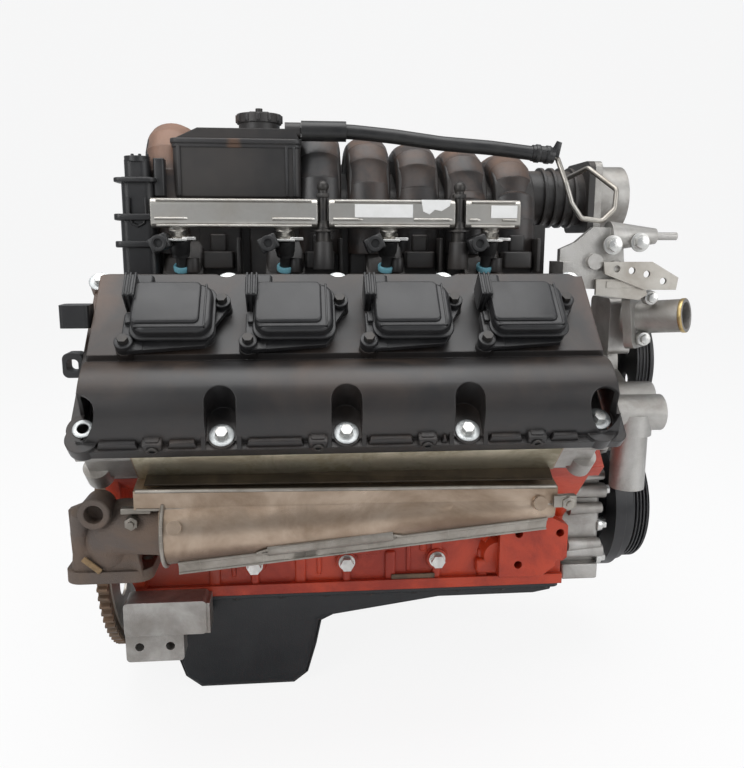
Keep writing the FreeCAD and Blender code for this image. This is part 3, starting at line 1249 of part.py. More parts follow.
def timing_cover():
    outline = [(-y, z) for y, z in HALF_COVER] + [(y, z) for y, z in reversed(HALF_COVER[:-1])]
    shell = slab_x(outline, BLOCK_LENGTH, COVER_FRONT)
    shell = rounded(shell, 8, lambda e: e.BoundBox.XMin > COVER_FRONT - 0.1 and e.BoundBox.ZMax > -70)
    hub = cone(V(COVER_FRONT - 1, 0, 0), X, COVER_HUB_R + 10, COVER_HUB_R - 12, COVER_HUB_X - COVER_FRONT + 1)
    bosses = [rod(V(BLOCK_LENGTH, s * y, z), X, 9, COVER_FRONT - BLOCK_LENGTH + 3)
              for y, z in ((92, -40), (92, 40), (86, 120), (72, 205)) for s in (-1, 1)]
    cover = fuse([shell, hub] + bosses)
    inner = [(y * 0.9, z * 0.965 + (-1 if z < 0 else 0)) for y, z in outline]
    cavity = slab_x(inner, BLOCK_LENGTH - 1, COVER_FRONT - 8)
    return cut(cover, [cavity, rod(V(BLOCK_LENGTH, 0, 0), X, DAMPER_HUB_R + RUNNING_GAP, 80)])


def oil_pump():
    ring = tube(V(549, 0, 0), X, 58, SNOUT_R + 8 + 10, 18)
    ears = [box(BLOCK_LENGTH, 567, s * 44 - 8, s * 44 + 8, -58, -40) for s in (-1, 1)]
    body = fuse([ring] + ears)
    pickup_bore = rod(V(BLOCK_LENGTH - 1, PICKUP_Y, -50), X, 7.1, 20)
    return body.cut(pickup_bore)


def damper():
    hub = rod(V(COVER_FRONT - 16, 0, 0), X, DAMPER_HUB_R, DAMPER_FRONT - COVER_FRONT + 12)
    profile = [(DAMPER_BACK, 60), (DAMPER_BACK, 92), (DAMPER_BACK + 14, 92), (DAMPER_BACK + 16, 86),
               (DAMPER_BACK + 26, 86), (DAMPER_BACK + 28, 80)]
    groove = DAMPER_BACK + 29
    for _ in range(6):
        profile += [(groove, 80), (groove + 1.4, 76.5), (groove + 2.8, 76.5), (groove + 3.4, 80)]
        groove += 3.55
    profile += [(DAMPER_FRONT, 80), (DAMPER_FRONT, 70), (DAMPER_BACK + 12, 66), (DAMPER_BACK + 12, 60)]
    rim = turned(profile, ORIGIN, X)
    web = tube(V(DAMPER_BACK + 12, 0, 0), X, 68, 20, 10)
    windows = [rod(V(DAMPER_BACK, 48 * math.sin(a), 48 * math.cos(a)), X, 11, 40)
               for a in [math.radians(72 * i) for i in range(5)]]
    wheel = cut(fuse([hub, rim, web]), windows)
    return wheel.cut(rod(V(COVER_FRONT - 30, 0, 0), X, SNOUT_R, 140))


def flexplate():
    disc = rod(V(FLANGE_END - 3, 0, 0), X, 158, 3)
    holes = [rod(V(FLANGE_END - 5, 110 * math.sin(a), 110 * math.cos(a)), X, 20, 8)
             for a in [math.radians(60 * i) for i in range(6)]]
    bolts = [rod(V(FLANGE_END - 5, 146 * math.sin(a), 146 * math.cos(a)), X, 5.2, 8)
             for a in [math.radians(45 + 90 * i) for i in range(4)]]
    heads = [hexagon(V(FLANGE_END - 3, 36 * math.sin(a), 36 * math.cos(a)), -X, 16, 7)
             for a in [math.radians(45 * i) for i in range(8)]]
    return fuse([cut(disc, holes + bolts)] + heads)


def ring_gear():
    ring = tube(V(FLANGE_END - 14, 0, 0), X, RING_R - 5, 158, 12)
    tooth = [(-3.6, RING_R - 6), (3.6, RING_R - 6), (1.8, RING_R), (-1.8, RING_R)]
    teeth = []
    for i in range(RING_TEETH):
        one = slab_x(tooth, FLANGE_END - 14, FLANGE_END - 2)
        one.rotate(ORIGIN, X, 360.0 * i / RING_TEETH)
        teeth.append(one)
    return fuse([ring] + teeth)


def rear_seal_cover():
    outline = [(-70, PAN_RAIL_Z), (-74, 0), (-40, 74), (40, 74), (74, 0), (70, PAN_RAIL_Z)]
    sheet = slab_x(outline, -9, 0)
    ring = rod(V(-11, 0, 0), X, FLANGE_R + 9, 10)
    return sheet.fuse(ring).cut(rod(V(-20, 0, 0), X, FLANGE_R + RUNNING_GAP, 22))


def valley_cover():
    return soft_box(10, BLOCK_LENGTH - 8, -54, 54, VALLEY_Z, VALLEY_Z + 4, 8)


def water_pump():
    back = COVER_FRONT
    volute = rod(V(back, 0, PUMP_Z), X, PUMP_R, 26)
    nose = cone(V(back + 24, 0, PUMP_Z), X, 34, 20, 16)
    inlet = rod(V(572, NECK_Y, INLET_Z), X, 22, 68)
    lobe = rod(V(590, NECK_Y + 22, INLET_Z + 14), X, 20, 46)
    link = slab_x([(NECK_Y, INLET_Z - 16), (-30, PUMP_Z - 48), (-20, PUMP_Z + 10), (NECK_Y, INLET_Z + 18)],
                  back + 2, back + 26)
    ears = [rod(V(back, s * 62, PUMP_Z + dz), X, 10, 14) for s in (-1, 1) for dz in (-30, 34)]
    arms = [box(back, back + 12, -62, 62, PUMP_Z + dz - 8, PUMP_Z + dz + 8) for dz in (-30, 34)]
    outlet = soft_box(back, back + 28, -84, -20, 214, 284, 8, X)
    boss = rod(V(INLET_NECK_X, NECK_Y, INLET_BOSS_Z), Z, 25, INLET_Z - INLET_BOSS_Z)
    body = fuse([volute, nose, inlet, lobe, link, outlet, boss] + ears + arms)
    cavity = rod(V(back - 1, 0, PUMP_Z), X, IMPELLER_R + 4, 17)
    bore = rod(V(back, 0, PUMP_Z), X, 8.3, 60)
    throat = rod(V(560, NECK_Y, INLET_Z), X, 16, 68)
    seat = rod(V(INLET_NECK_X, NECK_Y, INLET_BOSS_Z - 1), Z, INLET_NECK_R - 1 + PRESS_GAP, SPIGOT_LENGTH + 1)
    rise = rod(V(INLET_NECK_X, NECK_Y, INLET_BOSS_Z), Z, 15, INLET_Z - INLET_BOSS_Z)
    return cut(body, [cavity, bore, throat.common(box(573, 634, -200, 0, 0, 300)), seat, rise])


def pump_pulley():
    x0, x1 = PUMP_PULLEY_X
    rim = turned([(x0, 62), (x0, PUMP_PULLEY_R), (x0 + 3, PUMP_PULLEY_R), (x0 + 4, PUMP_PULLEY_R - 4),
                  (x1 - 4, PUMP_PULLEY_R - 4), (x1 - 3, PUMP_PULLEY_R), (x1, PUMP_PULLEY_R), (x1, 62)],
                 ORIGIN, X)
    face = tube(V(x0, 0, 0), X, 64, 10, 5)
    holes = [rod(V(x0 - 1, 42 * math.sin(a), 42 * math.cos(a)), X, 9, 8)
             for a in [math.radians(60 * i) for i in range(6)]]
    shaft = rod(V(COVER_FRONT + 2, 0, 0), X, 8, x0 + 10 - COVER_FRONT - 2)
    hub = rod(V(x0 - 3, 0, 0), X, 20, 12)
    vanes = [box(COVER_FRONT + 2, COVER_FRONT + 12, -1.5, 1.5, 6, IMPELLER_R - 1) for _ in range(6)]
    for i, vane in enumerate(vanes):
        vane.rotate(ORIGIN, X, 60 * i)
    impeller = rod(V(COVER_FRONT + 2, 0, 0), X, IMPELLER_R, 3)
    wheel = fuse([rim, cut(face, holes), shaft, hub, impeller] + vanes)
    wheel.translate(V(0, 0, PUMP_Z))
    return wheel


def inlet_neck():
    """Hose neck with a smaller spigot pressed up into the pump's boss."""
    neck = rod(V(INLET_NECK_X, NECK_Y, 54), Z, INLET_NECK_R, INLET_BOSS_Z - 54)
    spigot = rod(V(INLET_NECK_X, NECK_Y, 54), Z, INLET_NECK_R - 1, INLET_BOSS_Z - 54 + SPIGOT_LENGTH)
    return fuse([neck, spigot]).cut(rod(V(INLET_NECK_X, NECK_Y, 50), Z, INLET_NECK_R - 4, 100))


def thermostat_housing():
    along = (THERMO_MOUTH - THERMO_BASE).normalize()
    tube_out = rod(THERMO_BASE - along * 14, along, THERMO_R, 72)
    flange = soft_box(-28, 28, -36, 30, 0, 11, 9)
    turn = FreeCAD.Rotation(V(0.69, 0.72, 0), Z, along, "ZYX")
    flange.Placement = FreeCAD.Placement(THERMO_BASE - along * 8, turn)
    base = soft_box(COVER_FRONT + 28.05, 618, -92, -50, 222, 280, 6, X)
    neck = rod(V(COVER_FRONT + 34, -76, 256), V(0.3, -1, 0.1).normalize(), 24, 30)
    neck = neck.cut(rod(THERMO_BASE + along * 3, along, 60, 60))
    body = fuse([tube_out, flange, base, neck])
    pump_corner = box(COVER_FRONT, COVER_FRONT + 28.05, -84.05, 0, 200, 300)
    return cut(body, [rod(THERMO_BASE - along * 4, along, THERMO_R - 3.5, 80), pump_corner])


def accessory_bracket():
    outline = [(502, 300), (560, 298), (580, 318), (574, 368), (540, 369), (520, 352), (502, 344)]
    wall = slab_y(outline, -132, -122)
    foot = box(HEAD_END + 0.1, HEAD_END + 12, -150, -100, 250, 330)
    bosses = [rod(V(x, -138.9, z), Y, 9, 26) for x, z in ((516, 318), (542, 330), (566, 322))]
    horn = cone(V(560, -126, 359), X, 17, 9, 56)
    stud = rod(V(614, -126, 359), X, 4.5, 28)
    return fuse([wall, foot, horn, stud] + bosses)


def lifting_plate():
    first = slab_y([(550, 330), (608, 330), (640, 312), (638, 298), (600, 298), (552, 316)], -143, -139)
    second = slab_y([(544, 310), (600, 310), (606, 292), (596, 286), (544, 292)], -138.5, -134.5)
    holes = [rod(V(x, -150, z), Y, 4, 20) for x, z in ((566, 322), (584, 320), (602, 316), (622, 308))]
    return cut(fuse([first, second, box(556, 590, -139.5, -138, 300, 308)]), holes)


# ---- exhaust, brace, filter, sensors ---------------------------------------


def log_radius(x):
    share = (x - LOG_REAR.x) / (LOG_FRONT.x - LOG_REAR.x)
    return LOG_R[0] + (LOG_R[1] - LOG_R[0]) * share


def port_arms(growth):
    """Tapered arms from each exhaust port down into the collecting log."""
    span = LOG_FRONT - LOG_REAR
    arms = []
    for x in CYLINDER_X:
        start = to_right(x, HEAD_OUT + 5, EXHAUST_PORT_UP)
        end = LOG_REAR + span * ((x - LOG_REAR.x) / span.x)
        tip_r = min(ARM_R, log_radius(x)) - 1
        arms.append(cone(start, end - start, ARM_R + growth, tip_r + growth, (end - start).Length))
    return arms


def exhaust_manifold():
    span = LOG_FRONT - LOG_REAR
    log = cone(LOG_REAR, span, LOG_R[0], LOG_R[1], span.Length)
    flanges = [right(bank_box(x - 28, x + 28, HEAD_OUT + 4.05, HEAD_OUT + 12, EXHAUST_PORT_UP - 22,
                              EXHAUST_PORT_UP + 22)) for x in CYLINDER_X]
    elbow = pipe([V(90, -284, 80), V(14, -262, 76), OUTLET], 27, 24)
    foot = soft_box(OUTLET.x - 42, OUTLET.x + 42, OUTLET.y - 34, OUTLET.y + 34, OUTLET.z - 12, OUTLET.z, 16)
    boss_at, boss_way = V(8, -264, 99), V(0, -1, 0)
    body = fuse([log, elbow, foot, rod(boss_at, boss_way, 15, 30)] + flanges + port_arms(0))
    tools = [rod(V(OUTLET.x, OUTLET.y, OUTLET.z - 13), Z, 22, 30)]
    for s in (-1, 1):
        tools.append(rod(V(OUTLET.x + s * OUTLET_STUD_STEP, OUTLET.y, OUTLET.z - 13), Z, 5.3, 16))
    tools.append(rod(boss_at + boss_way * 16, boss_way, 9, 20))
    for x in CYLINDER_X:
        start = to_right(x, HEAD_OUT + 3, EXHAUST_PORT_UP)
        end = LOG_REAR + span * ((x - LOG_REAR.x) / span.x)
        tools.append(rod(start, end - start, ARM_BORE_R, 26))
    return cut(body, tools)


def heat_shield():
    """Upper plate beside the head, a recessed strip with a turned lip, and the cone round the log."""
    span = LOG_FRONT - LOG_REAR
    outer_r = [radius + SHIELD_GAP + SHIELD_T for radius in LOG_R]
    inner_r = [radius + SHIELD_GAP for radius in LOG_R]
    shell = cone(LOG_REAR, span, *outer_r, span.Length).cut(cone(LOG_REAR, span, *inner_r, span.Length))
    shell = shell.common(box(0, BLOCK_LENGTH, LOG_REAR.y - 100, LOG_REAR.y, 0, 200))
    x0, x1 = SHIELD_X
    face = bank_box(x0, x1, SHIELD_OUT, SHIELD_OUT + SHIELD_T, SHIELD_LOW_UP, RAIL_UP - 2)
    low = to_right(x0, SHIELD_OUT, SHIELD_LOW_UP + 1)
    y, z, t = LIP_REAR.y, LIP_REAR.z, SHIELD_T
    strip = [V(x0, low.y, low.z), V(x0, y, z), V(x0, y, z - LIP_HEIGHT), V(x0, y + t, z - LIP_HEIGHT),
             V(x0, y + t, z - t), V(x0, low.y, low.z - t)]
    strip = plate(strip, V(x1 - x0, 0, 0) + LIP_RUN)
    screws = []
    for x in SHIELD_SCREW_X:
        centre = LOG_REAR + span * ((x - LOG_REAR.x) / span.x)
        out = V(0, -0.94, 0.34).normalize()
        reach = log_radius(x) + RUNNING_GAP
        screws.append(rod(centre + out * reach, out, 4, SHIELD_GAP + SHIELD_T + 1))
        screws.append(rod(centre + out * (reach + SHIELD_GAP + SHIELD_T), out, 7, 4))
    return fuse([shell, right(face), strip] + screws).cut(fuse(port_arms(1.5)))


def mirrored_left(shape):
    other = shape.mirror(ORIGIN, Y)
    other.translate(V(BANK_OFFSET, 0, 0))
    return other


def transmission_brace():
    upper = soft_box(-8, 88, -142, -108.2, -108, -66.3, 5, Y)
    lower = soft_box(-8, 60, -138, -112, -143, -104, 5, Y)
    rib = box(84, 92, -140, -108.2, -108, -70)
    holes = [rod(V(x, -150, z), Y, 5.3, 50) for x, z in ((8, -124), (44, -124))]
    return cut(fuse([upper, lower, rib]), holes)


def oil_filter():
    start = V(FILTER_X, SKIRT_HALF + 12, FILTER_Z)
    profile = [(0, 0.01), (0, 30), (4, 37), (84, 37), (92, 30), (95, 12), (95, 0.01)]
    return turned(profile, start, Y)


def sensors():
    rear_plug = fuse([soft_box(-24, 4.1, -252, -228, 270, 292, 4), rod(V(-10, -240, 270), Z, 9, 5)])
    hook = soft_box(-24, -5.1, -250, -232, 222, 246, 6, Y).cut(soft_box(-20, -9, -260, -220, 228, 240, 4, Y))
    cam_sensor = rod(V(556, -81.2, 205), V(0, -1, 0), 9, 20)
    cam_sensor = cam_sensor.fuse(soft_box(548, 566, -112, -98, 196, 214, 3, Y))
    return [rear_plug, hook, cam_sensor]


# ---- every piece, node by node ---------------------------------------------
def build_bottom_end():
    keep("engine_block", engine_block())
    keep("main_bearing_caps", main_caps())
    keep("main_bolts", main_bolts())
    keep("oil_pan", oil_pan())
    keep("windage_tray", windage_tray())
    keep("oil_pickup", oil_pickup())
    keep("oil_pump", oil_pump())
    keep("oil_filter", oil_filter())
    keep("rear_seal_cover", rear_seal_cover())
    keep("valley_cover", valley_cover())
    keep("transmission_brace", transmission_brace())
    pistons, pins, rods = piston_set()
    keep("pistons", pistons)
    keep("wrist_pins", pins)
    keep("connecting_rods", rods)


def build_crank_and_cam():
    keep("crankshaft", crankshaft())
    keep("crank_damper", damper())
    keep("flexplate", flexplate())
    keep("ring_gear", ring_gear())
    keep("crank_sprocket", sprocket(0, CRANK_SPROCKET_R, CRANK_TEETH, SNOUT_R, 26))
    keep("camshaft", camshaft())
    keep("cam_sprocket", sprocket(CAM_Z, CAM_SPROCKET_R, 2 * CRANK_TEETH, 14, 26))
    keep("timing_chain", timing_chain())
    lifters, pushrods, rockers, shafts, valves, springs = valve_gear()
    keep("lifters", lifters)
    keep("pushrods", pushrods)
    keep("rocker_arms", rockers)
    keep("rocker_shafts", shafts)
    keep("valves", valves)
    keep("valve_springs", springs)


def build_heads():
    head = cylinder_head()
    keep("right_cylinder_head", right(head))
    keep("left_cylinder_head", left(head))
    keep("head_gaskets", [right(head_gasket()), left(head_gasket())])
    keep("right_valve_cover", right(valve_cover(False)))
    keep("left_valve_cover", left(valve_cover(True)))
    keep("valve_cover_bolts", cover_bolts())
    keep("oil_filler_cap", filler_cap())
    coils, screws, plugs = coil_set()
    keep("ignition_coils", coils)
    keep("coil_bolts", screws)
    keep("spark_plugs", plugs)


def build_intake():
    keep("intake_manifold", intake_manifold())
    keep("vent_chamber", vent_chamber())
    keep("vent_chamber_lid", vent_lid())
    keep("vent_hose", vent_hose())
    keep("vapour_tube", pipe([V(*p) for p in VAPOUR_POINTS], VAPOUR_R, VAPOUR_BEND))
    keep("runner_valve_actuator", runner_actuator())
    keep("throttle_body", throttle_body())
    keep("throttle_blade", throttle_blade())
    rails, injectors, studs = fuel_set()
    keep("fuel_rails", rails)
    keep("fuel_injectors", injectors)
    keep("rail_studs", studs)


def build_front_and_exhaust():
    keep("timing_cover", timing_cover())
    keep("water_pump", water_pump())
    keep("water_pump_pulley", pump_pulley())
    keep("coolant_inlet_neck", inlet_neck())
    keep("thermostat_housing", thermostat_housing())
    keep("accessory_bracket", accessory_bracket())
    keep("lifting_plate", lifting_plate())
    keep("engine_sensors", sensors())
    manifold = exhaust_manifold()
    keep("right_exhaust_manifold", manifold)
    keep("left_exhaust_manifold", mirrored_left(manifold))
    shield = heat_shield()
    keep("heat_shields", [shield, mirrored_left(shield)])


build_bottom_end()
build_crank_and_cam()
build_heads()
build_intake()
build_front_and_exhaust()
os.makedirs("parts", exist_ok=True)
for name, shapes in NODES.items():
    whole = shapes[0] if len(shapes) == 1 else Part.makeCompound(shapes)
    whole.exportStep("parts/%s.step" % name)
    sound = all(s.isValid() and len(s.Solids) == 1 for s in shapes)
    print("%-24s %3d solids  sound %s  %9.1f cm3" % (name, len(whole.Solids), sound, whole.Volume / 1000))
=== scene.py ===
# %% [markdown]
# # A complete V8 engine
# This lesson dresses a finished CAD assembly of a V8 engine. The frame brings in every CAD piece at its true
# place, in metres, with +X towards the front of the engine, +Y to its left and +Z up. Everything made
# here is added around those pieces, so the sizes stay as the CAD has them.

# %% Load the frame
import json
import math

import bmesh
import bpy
from bmesh.types import BMEdge, BMFace, BMVert
from mathutils import Matrix, Vector


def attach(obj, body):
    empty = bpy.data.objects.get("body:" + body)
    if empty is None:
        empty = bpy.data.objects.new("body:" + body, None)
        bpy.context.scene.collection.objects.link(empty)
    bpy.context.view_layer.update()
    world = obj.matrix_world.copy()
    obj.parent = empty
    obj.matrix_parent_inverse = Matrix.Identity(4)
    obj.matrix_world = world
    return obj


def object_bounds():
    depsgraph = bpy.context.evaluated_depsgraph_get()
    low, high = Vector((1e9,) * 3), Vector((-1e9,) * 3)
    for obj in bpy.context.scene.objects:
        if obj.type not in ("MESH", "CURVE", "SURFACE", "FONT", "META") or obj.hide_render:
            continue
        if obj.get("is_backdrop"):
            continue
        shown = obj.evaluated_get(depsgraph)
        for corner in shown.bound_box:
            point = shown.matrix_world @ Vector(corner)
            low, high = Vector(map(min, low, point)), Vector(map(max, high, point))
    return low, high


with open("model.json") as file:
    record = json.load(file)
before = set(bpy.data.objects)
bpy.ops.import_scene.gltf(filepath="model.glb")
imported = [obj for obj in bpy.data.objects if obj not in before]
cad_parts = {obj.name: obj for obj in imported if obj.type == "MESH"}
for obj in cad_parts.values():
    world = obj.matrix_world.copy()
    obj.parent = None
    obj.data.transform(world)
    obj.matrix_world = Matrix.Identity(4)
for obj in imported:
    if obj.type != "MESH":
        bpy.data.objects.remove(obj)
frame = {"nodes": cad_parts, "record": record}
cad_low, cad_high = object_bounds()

nodes = frame["nodes"]
print("CAD pieces", len(nodes), "box", [round(v, 3) for v in (*cad_low, *cad_high)])

# %% [markdown]
# ## Camera
# A product picture is taken from a little above and a little to one side. The camera is built from its
# own three directions, right, up and forward, because that gives an exact matrix with no trial and error.

# %% Camera
scene = bpy.context.scene


def placed(name, data):
    """A new object that holds the data, linked to the scene."""
    made = bpy.data.objects.new(name, data)
    scene.collection.objects.link(made)
    return made


YAW, PITCH, ROLL = math.radians(5.2555), math.radians(10.5019), math.radians(0.147)
CAMERA_AT = Vector((0.205411, -1.004401, 0.352420))
forward = Vector((math.sin(YAW) * math.cos(PITCH), math.cos(YAW) * math.cos(PITCH), -math.sin(PITCH)))
level = Vector((math.cos(YAW), -math.sin(YAW), 0))
upright = level.cross(forward)
right = level * math.cos(ROLL) + upright * math.sin(ROLL)
upward = upright * math.cos(ROLL) - level * math.sin(ROLL)

camera_data = bpy.data.cameras.new("product_camera")
camera_data.sensor_width, camera_data.lens = 36, 36.09
camera_data.clip_start, camera_data.clip_end = 0.05, 60
camera = placed("product_camera", camera_data)
camera.matrix_world = Matrix((right, upward, -forward)).transposed().to_4x4()
camera.location = CAMERA_AT
scene.camera = camera
print("camera lens", camera_data.lens)

# %% [markdown]
# ## Floor and light
# The engine stands on a white sweep: a floor that turns up into a back wall in one curve, so no horizon
# line shows. Three large soft lamps stand in for a studio: a wide one overhead, one at the front left and a
# weaker one at the right. Large lamps give the long soft highlights that satin plastic needs.

# %% White sweep
FLOOR_Z = cad_low.z - 0.0005
HALF_WIDTH, NEAR_Y, DEPTH, TURN_R, WALL = 9, -7, 12, 2.5, 6
sweep = bmesh.new()
edge = sweep.edges.new([sweep.verts.new((x, NEAR_Y, FLOOR_Z)) for x in (-HALF_WIDTH, HALF_WIDTH)])
flat = bmesh.ops.extrude_edge_only(sweep, edges=[edge])["geom"]
bmesh.ops.translate(sweep, verts=[g for g in flat if isinstance(g, BMVert)], vec=(0, DEPTH, 0))
back = [g for g in flat if isinstance(g, BMEdge)][:1]
curve = bmesh.ops.spin(sweep, geom=back, cent=(0, NEAR_Y + DEPTH, FLOOR_Z + TURN_R), axis=(1, 0, 0),
                       angle=math.pi / 2, steps=24)["geom_last"]
wall = bmesh.ops.extrude_edge_only(sweep, edges=[g for g in curve if isinstance(g, BMEdge)])["geom"]
bmesh.ops.translate(sweep, verts=[g for g in wall if isinstance(g, BMVert)], vec=(0, 0, WALL))
for face in sweep.faces:
    face.smooth = True
sweep_mesh = bpy.data.meshes.new("studio_sweep")
sweep.to_mesh(sweep_mesh)
sweep.free()
studio_sweep = placed("studio_sweep", sweep_mesh)
studio_sweep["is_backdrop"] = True
print("sweep faces", len(sweep_mesh.polygons))

# %% Soft lamps
def soft_lamp(name, place, target, size, power):
    """A square area lamp turned towards a point."""
    data = bpy.data.lights.new(name, "AREA")
    data.shape = "RECTANGLE"
    data.size, data.size_y = size
    data.energy = power
    lamp = placed(name, data)
    lamp.location = place
    lamp.rotation_mode = "QUATERNION"
    lamp.rotation_quaternion = (Vector(target) - Vector(place)).to_track_quat("-Z", "Y")


MIDDLE = (0.28, 0.0, 0.15)
soft_lamp("overhead", (0.25, -0.35, 2.1), MIDDLE, (2.2, 1.6), 36)
soft_lamp("front_left", (-1.5, -1.9, 1.1), MIDDLE, (1.3, 1.3), 22)
soft_lamp("front_right", (1.9, -1.6, 0.8), MIDDLE, (1.2, 1.4), 13)
scene.view_settings.view_transform = "Standard"
print("lamps", len(bpy.data.lights))

# %% World
def set_inputs(node, **values):
    """Sets input sockets of a node by their labels."""
    for label, value in values.items():
        node.inputs[label].default_value = value


world = bpy.data.worlds.new("studio_world")
scene.world = world
world.use_nodes = True
tree = world.node_tree
tree.nodes.clear()
path = tree.nodes.new("ShaderNodeLightPath")
mixer = tree.nodes.new("ShaderNodeMixShader")
out = tree.nodes.new("ShaderNodeOutputWorld")
tree.links.new(path.outputs["Is Camera Ray"], mixer.inputs[0])
LIGHTING, SEEN = ((0.93, 0.96, 1, 1), 0.42), ((1, 1, 1, 1), 1.0)
for socket, (colour, strength) in zip(mixer.inputs[1:], (LIGHTING, SEEN)):
    sky = tree.nodes.new("ShaderNodeBackground")
    set_inputs(sky, Color=colour, Strength=strength)
    tree.links.new(sky.outputs[0], socket)
tree.links.new(mixer.outputs[0], out.inputs[0])
print("world nodes", len(tree.nodes))

# %% Sweep paint
sweep_paint = bpy.data.materials.new("sweep_paint")
sweep_paint.use_nodes = True
sheet = sweep_paint.node_tree
sheet.nodes.clear()
matt = sheet.nodes.new("ShaderNodeBsdfDiffuse")
set_inputs(matt, Color=(0.86, 0.86, 0.86, 1))
glow = sheet.nodes.new("ShaderNodeEmission")
set_inputs(glow, Color=(1, 1, 1, 1), Strength=1.0)
ray = sheet.nodes.new("ShaderNodeLightPath")
share = sheet.nodes.new("ShaderNodeMath")
share.operation = "MULTIPLY"
share.inputs[1].default_value = 0.88
blend = sheet.nodes.new("ShaderNodeMixShader")
end = sheet.nodes.new("ShaderNodeOutputMaterial")
sheet.links.new(ray.outputs["Is Camera Ray"], share.inputs[0])
sheet.links.new(share.outputs[0], blend.inputs[0])
sheet.links.new(matt.outputs[0], blend.inputs[1])
sheet.links.new(glow.outputs[0], blend.inputs[2])
sheet.links.new(blend.outputs[0], end.inputs[0])
sweep_mesh.materials.append(sweep_paint)
print("sweep paint ready")

# %% [markdown]
# ## Shared surface effects
# Four effects turn up all over an engine: a patchy colour, a fine grain, dust that lies on what faces up, and
# edges rubbed bright. Each is a node group, built once with its own inputs, and placed in every finish
# with other numbers. A group keeps one effect alike on all pieces and makes a finish short to read.

# %% A helper that makes a group
def effect(name, inputs, outputs):
    """An empty shader node group with named float or vector sockets."""
    group = bpy.data.node_groups.new(name, "ShaderNodeTree")
    for label, value in inputs:
        made = group.interface.new_socket(label, in_out="INPUT", socket_type="NodeSocketFloat")
        made.default_value = value
    for label, kind in outputs:
        group.interface.new_socket(label, in_out="OUTPUT", socket_type=kind)
    return group, group.nodes.new("NodeGroupInput"), group.nodes.new("NodeGroupOutput")


def feed(tree, socket, value):
    """Links another socket to this one, or gives it a number or an (r, g, b) tuple."""
    if isinstance(value, bpy.types.NodeSocket):
        tree.links.new(value, socket)
    else:
        socket.default_value = (*value, 1) if isinstance(value, tuple) else value


def math_node(tree, operation, first, second, clamp=False):
    """A Math node whose inputs are sockets or numbers."""
    node = tree.nodes.new("ShaderNodeMath")
    node.operation = operation
    node.use_clamp = clamp
    for socket, value in zip(node.inputs, (first, second)):
        feed(tree, socket, value)
    return node.outputs[0]


def noise(tree, coordinates, scale, detail=3.0, roughness=0.55, distortion=0.0):
    """A Noise Texture whose scale is a number or a socket."""
    node = tree.nodes.new("ShaderNodeTexNoise")
    tree.links.new(coordinates, node.inputs["Vector"])
    feed(tree, node.inputs["Scale"], scale)
    set_inputs(node, Detail=detail, Roughness=roughness, Distortion=distortion)
    return node.outputs["Fac"]


def spread(tree, value, low, high):
    """Stretches a value so that low becomes 0 and high becomes 1."""
    node = tree.nodes.new("ShaderNodeMapRange")
    node.interpolation_type = "SMOOTHSTEP"
    for socket, number in zip(node.inputs, (value, low, high)):
        feed(tree, socket, number)
    return node.outputs[0]


print("helpers ready")

# %% Patches
patches, given, result = effect("patches", [("Scale", 9.0), ("Softness", 0.2)], [("Mask", "NodeSocketFloat")])
place = patches.nodes.new("ShaderNodeTexCoord").outputs["Object"]
cloud = noise(patches, place, given.outputs["Scale"], 5.0, 0.62, 0.4)
low = math_node(patches, "SUBTRACT", 0.52, given.outputs["Softness"])
high = math_node(patches, "ADD", 0.52, given.outputs["Softness"])
patches.links.new(spread(patches, cloud, low, high), result.inputs["Mask"])
print("group", patches.name)

# %% Grain
grain, given, result = effect("grain", [("Scale", 900.0), ("Coarse", 0.3)], [("Height", "NodeSocketFloat")])
place = grain.nodes.new("ShaderNodeTexCoord").outputs["Object"]
fine = noise(grain, place, given.outputs["Scale"], 2.0, 0.5)
wide = noise(grain, place, math_node(grain, "MULTIPLY", given.outputs["Scale"], 0.12), 3.0, 0.6)
lumps = math_node(grain, "MULTIPLY", wide, given.outputs["Coarse"])
grain.links.new(math_node(grain, "ADD", fine, lumps), result.inputs["Height"])
print("group", grain.name)

# %% Dust on what faces up
dust, given, result = effect("dust", [("Amount", 0.5), ("Scale", 14.0)], [("Mask", "NodeSocketFloat")])
place = dust.nodes.new("ShaderNodeTexCoord").outputs["Object"]
facing = dust.nodes.new("ShaderNodeNewGeometry").outputs["True Normal"]
split = dust.nodes.new("ShaderNodeSeparateXYZ")
dust.links.new(facing, split.inputs[0])
top = spread(dust, split.outputs["Z"], 0.1, 1.0)
cloud = noise(dust, place, given.outputs["Scale"], 6.0, 0.65, 0.6)
streak = spread(dust, cloud, 0.38, 0.75)
settled = math_node(dust, "ADD", math_node(dust, "MULTIPLY", top, 0.75), 0.25)
film = math_node(dust, "MULTIPLY", settled, streak)
dust.links.new(math_node(dust, "MULTIPLY", film, given.outputs["Amount"], True), result.inputs["Mask"])
print("group", dust.name)

# %% Rubbed edges
edges, given, result = effect("edges", [("Radius", 0.0012), ("Amount", 0.5)],
                              [("Mask", "NodeSocketFloat"), ("Normal", "NodeSocketVector")])
rounded = edges.nodes.new("ShaderNodeBevel")
rounded.samples = 4
edges.links.new(given.outputs["Radius"], rounded.inputs["Radius"])
geometry = edges.nodes.new("ShaderNodeNewGeometry")
aligned = edges.nodes.new("ShaderNodeVectorMath")
aligned.operation = "DOT_PRODUCT"
edges.links.new(rounded.outputs[0], aligned.inputs[0])
edges.links.new(geometry.outputs["Normal"], aligned.inputs[1])
bend = math_node(edges, "SUBTRACT", 1.0, aligned.outputs["Value"])
place = edges.nodes.new("ShaderNodeTexCoord").outputs["Object"]
broken = spread(edges, noise(edges, place, 60.0, 4.0, 0.6), 0.35, 0.65)
rubbed = math_node(edges, "MULTIPLY", spread(edges, bend, 0.04, 0.3), broken)
edges.links.new(math_node(edges, "MULTIPLY", rubbed, given.outputs["Amount"], True), result.inputs["Mask"])
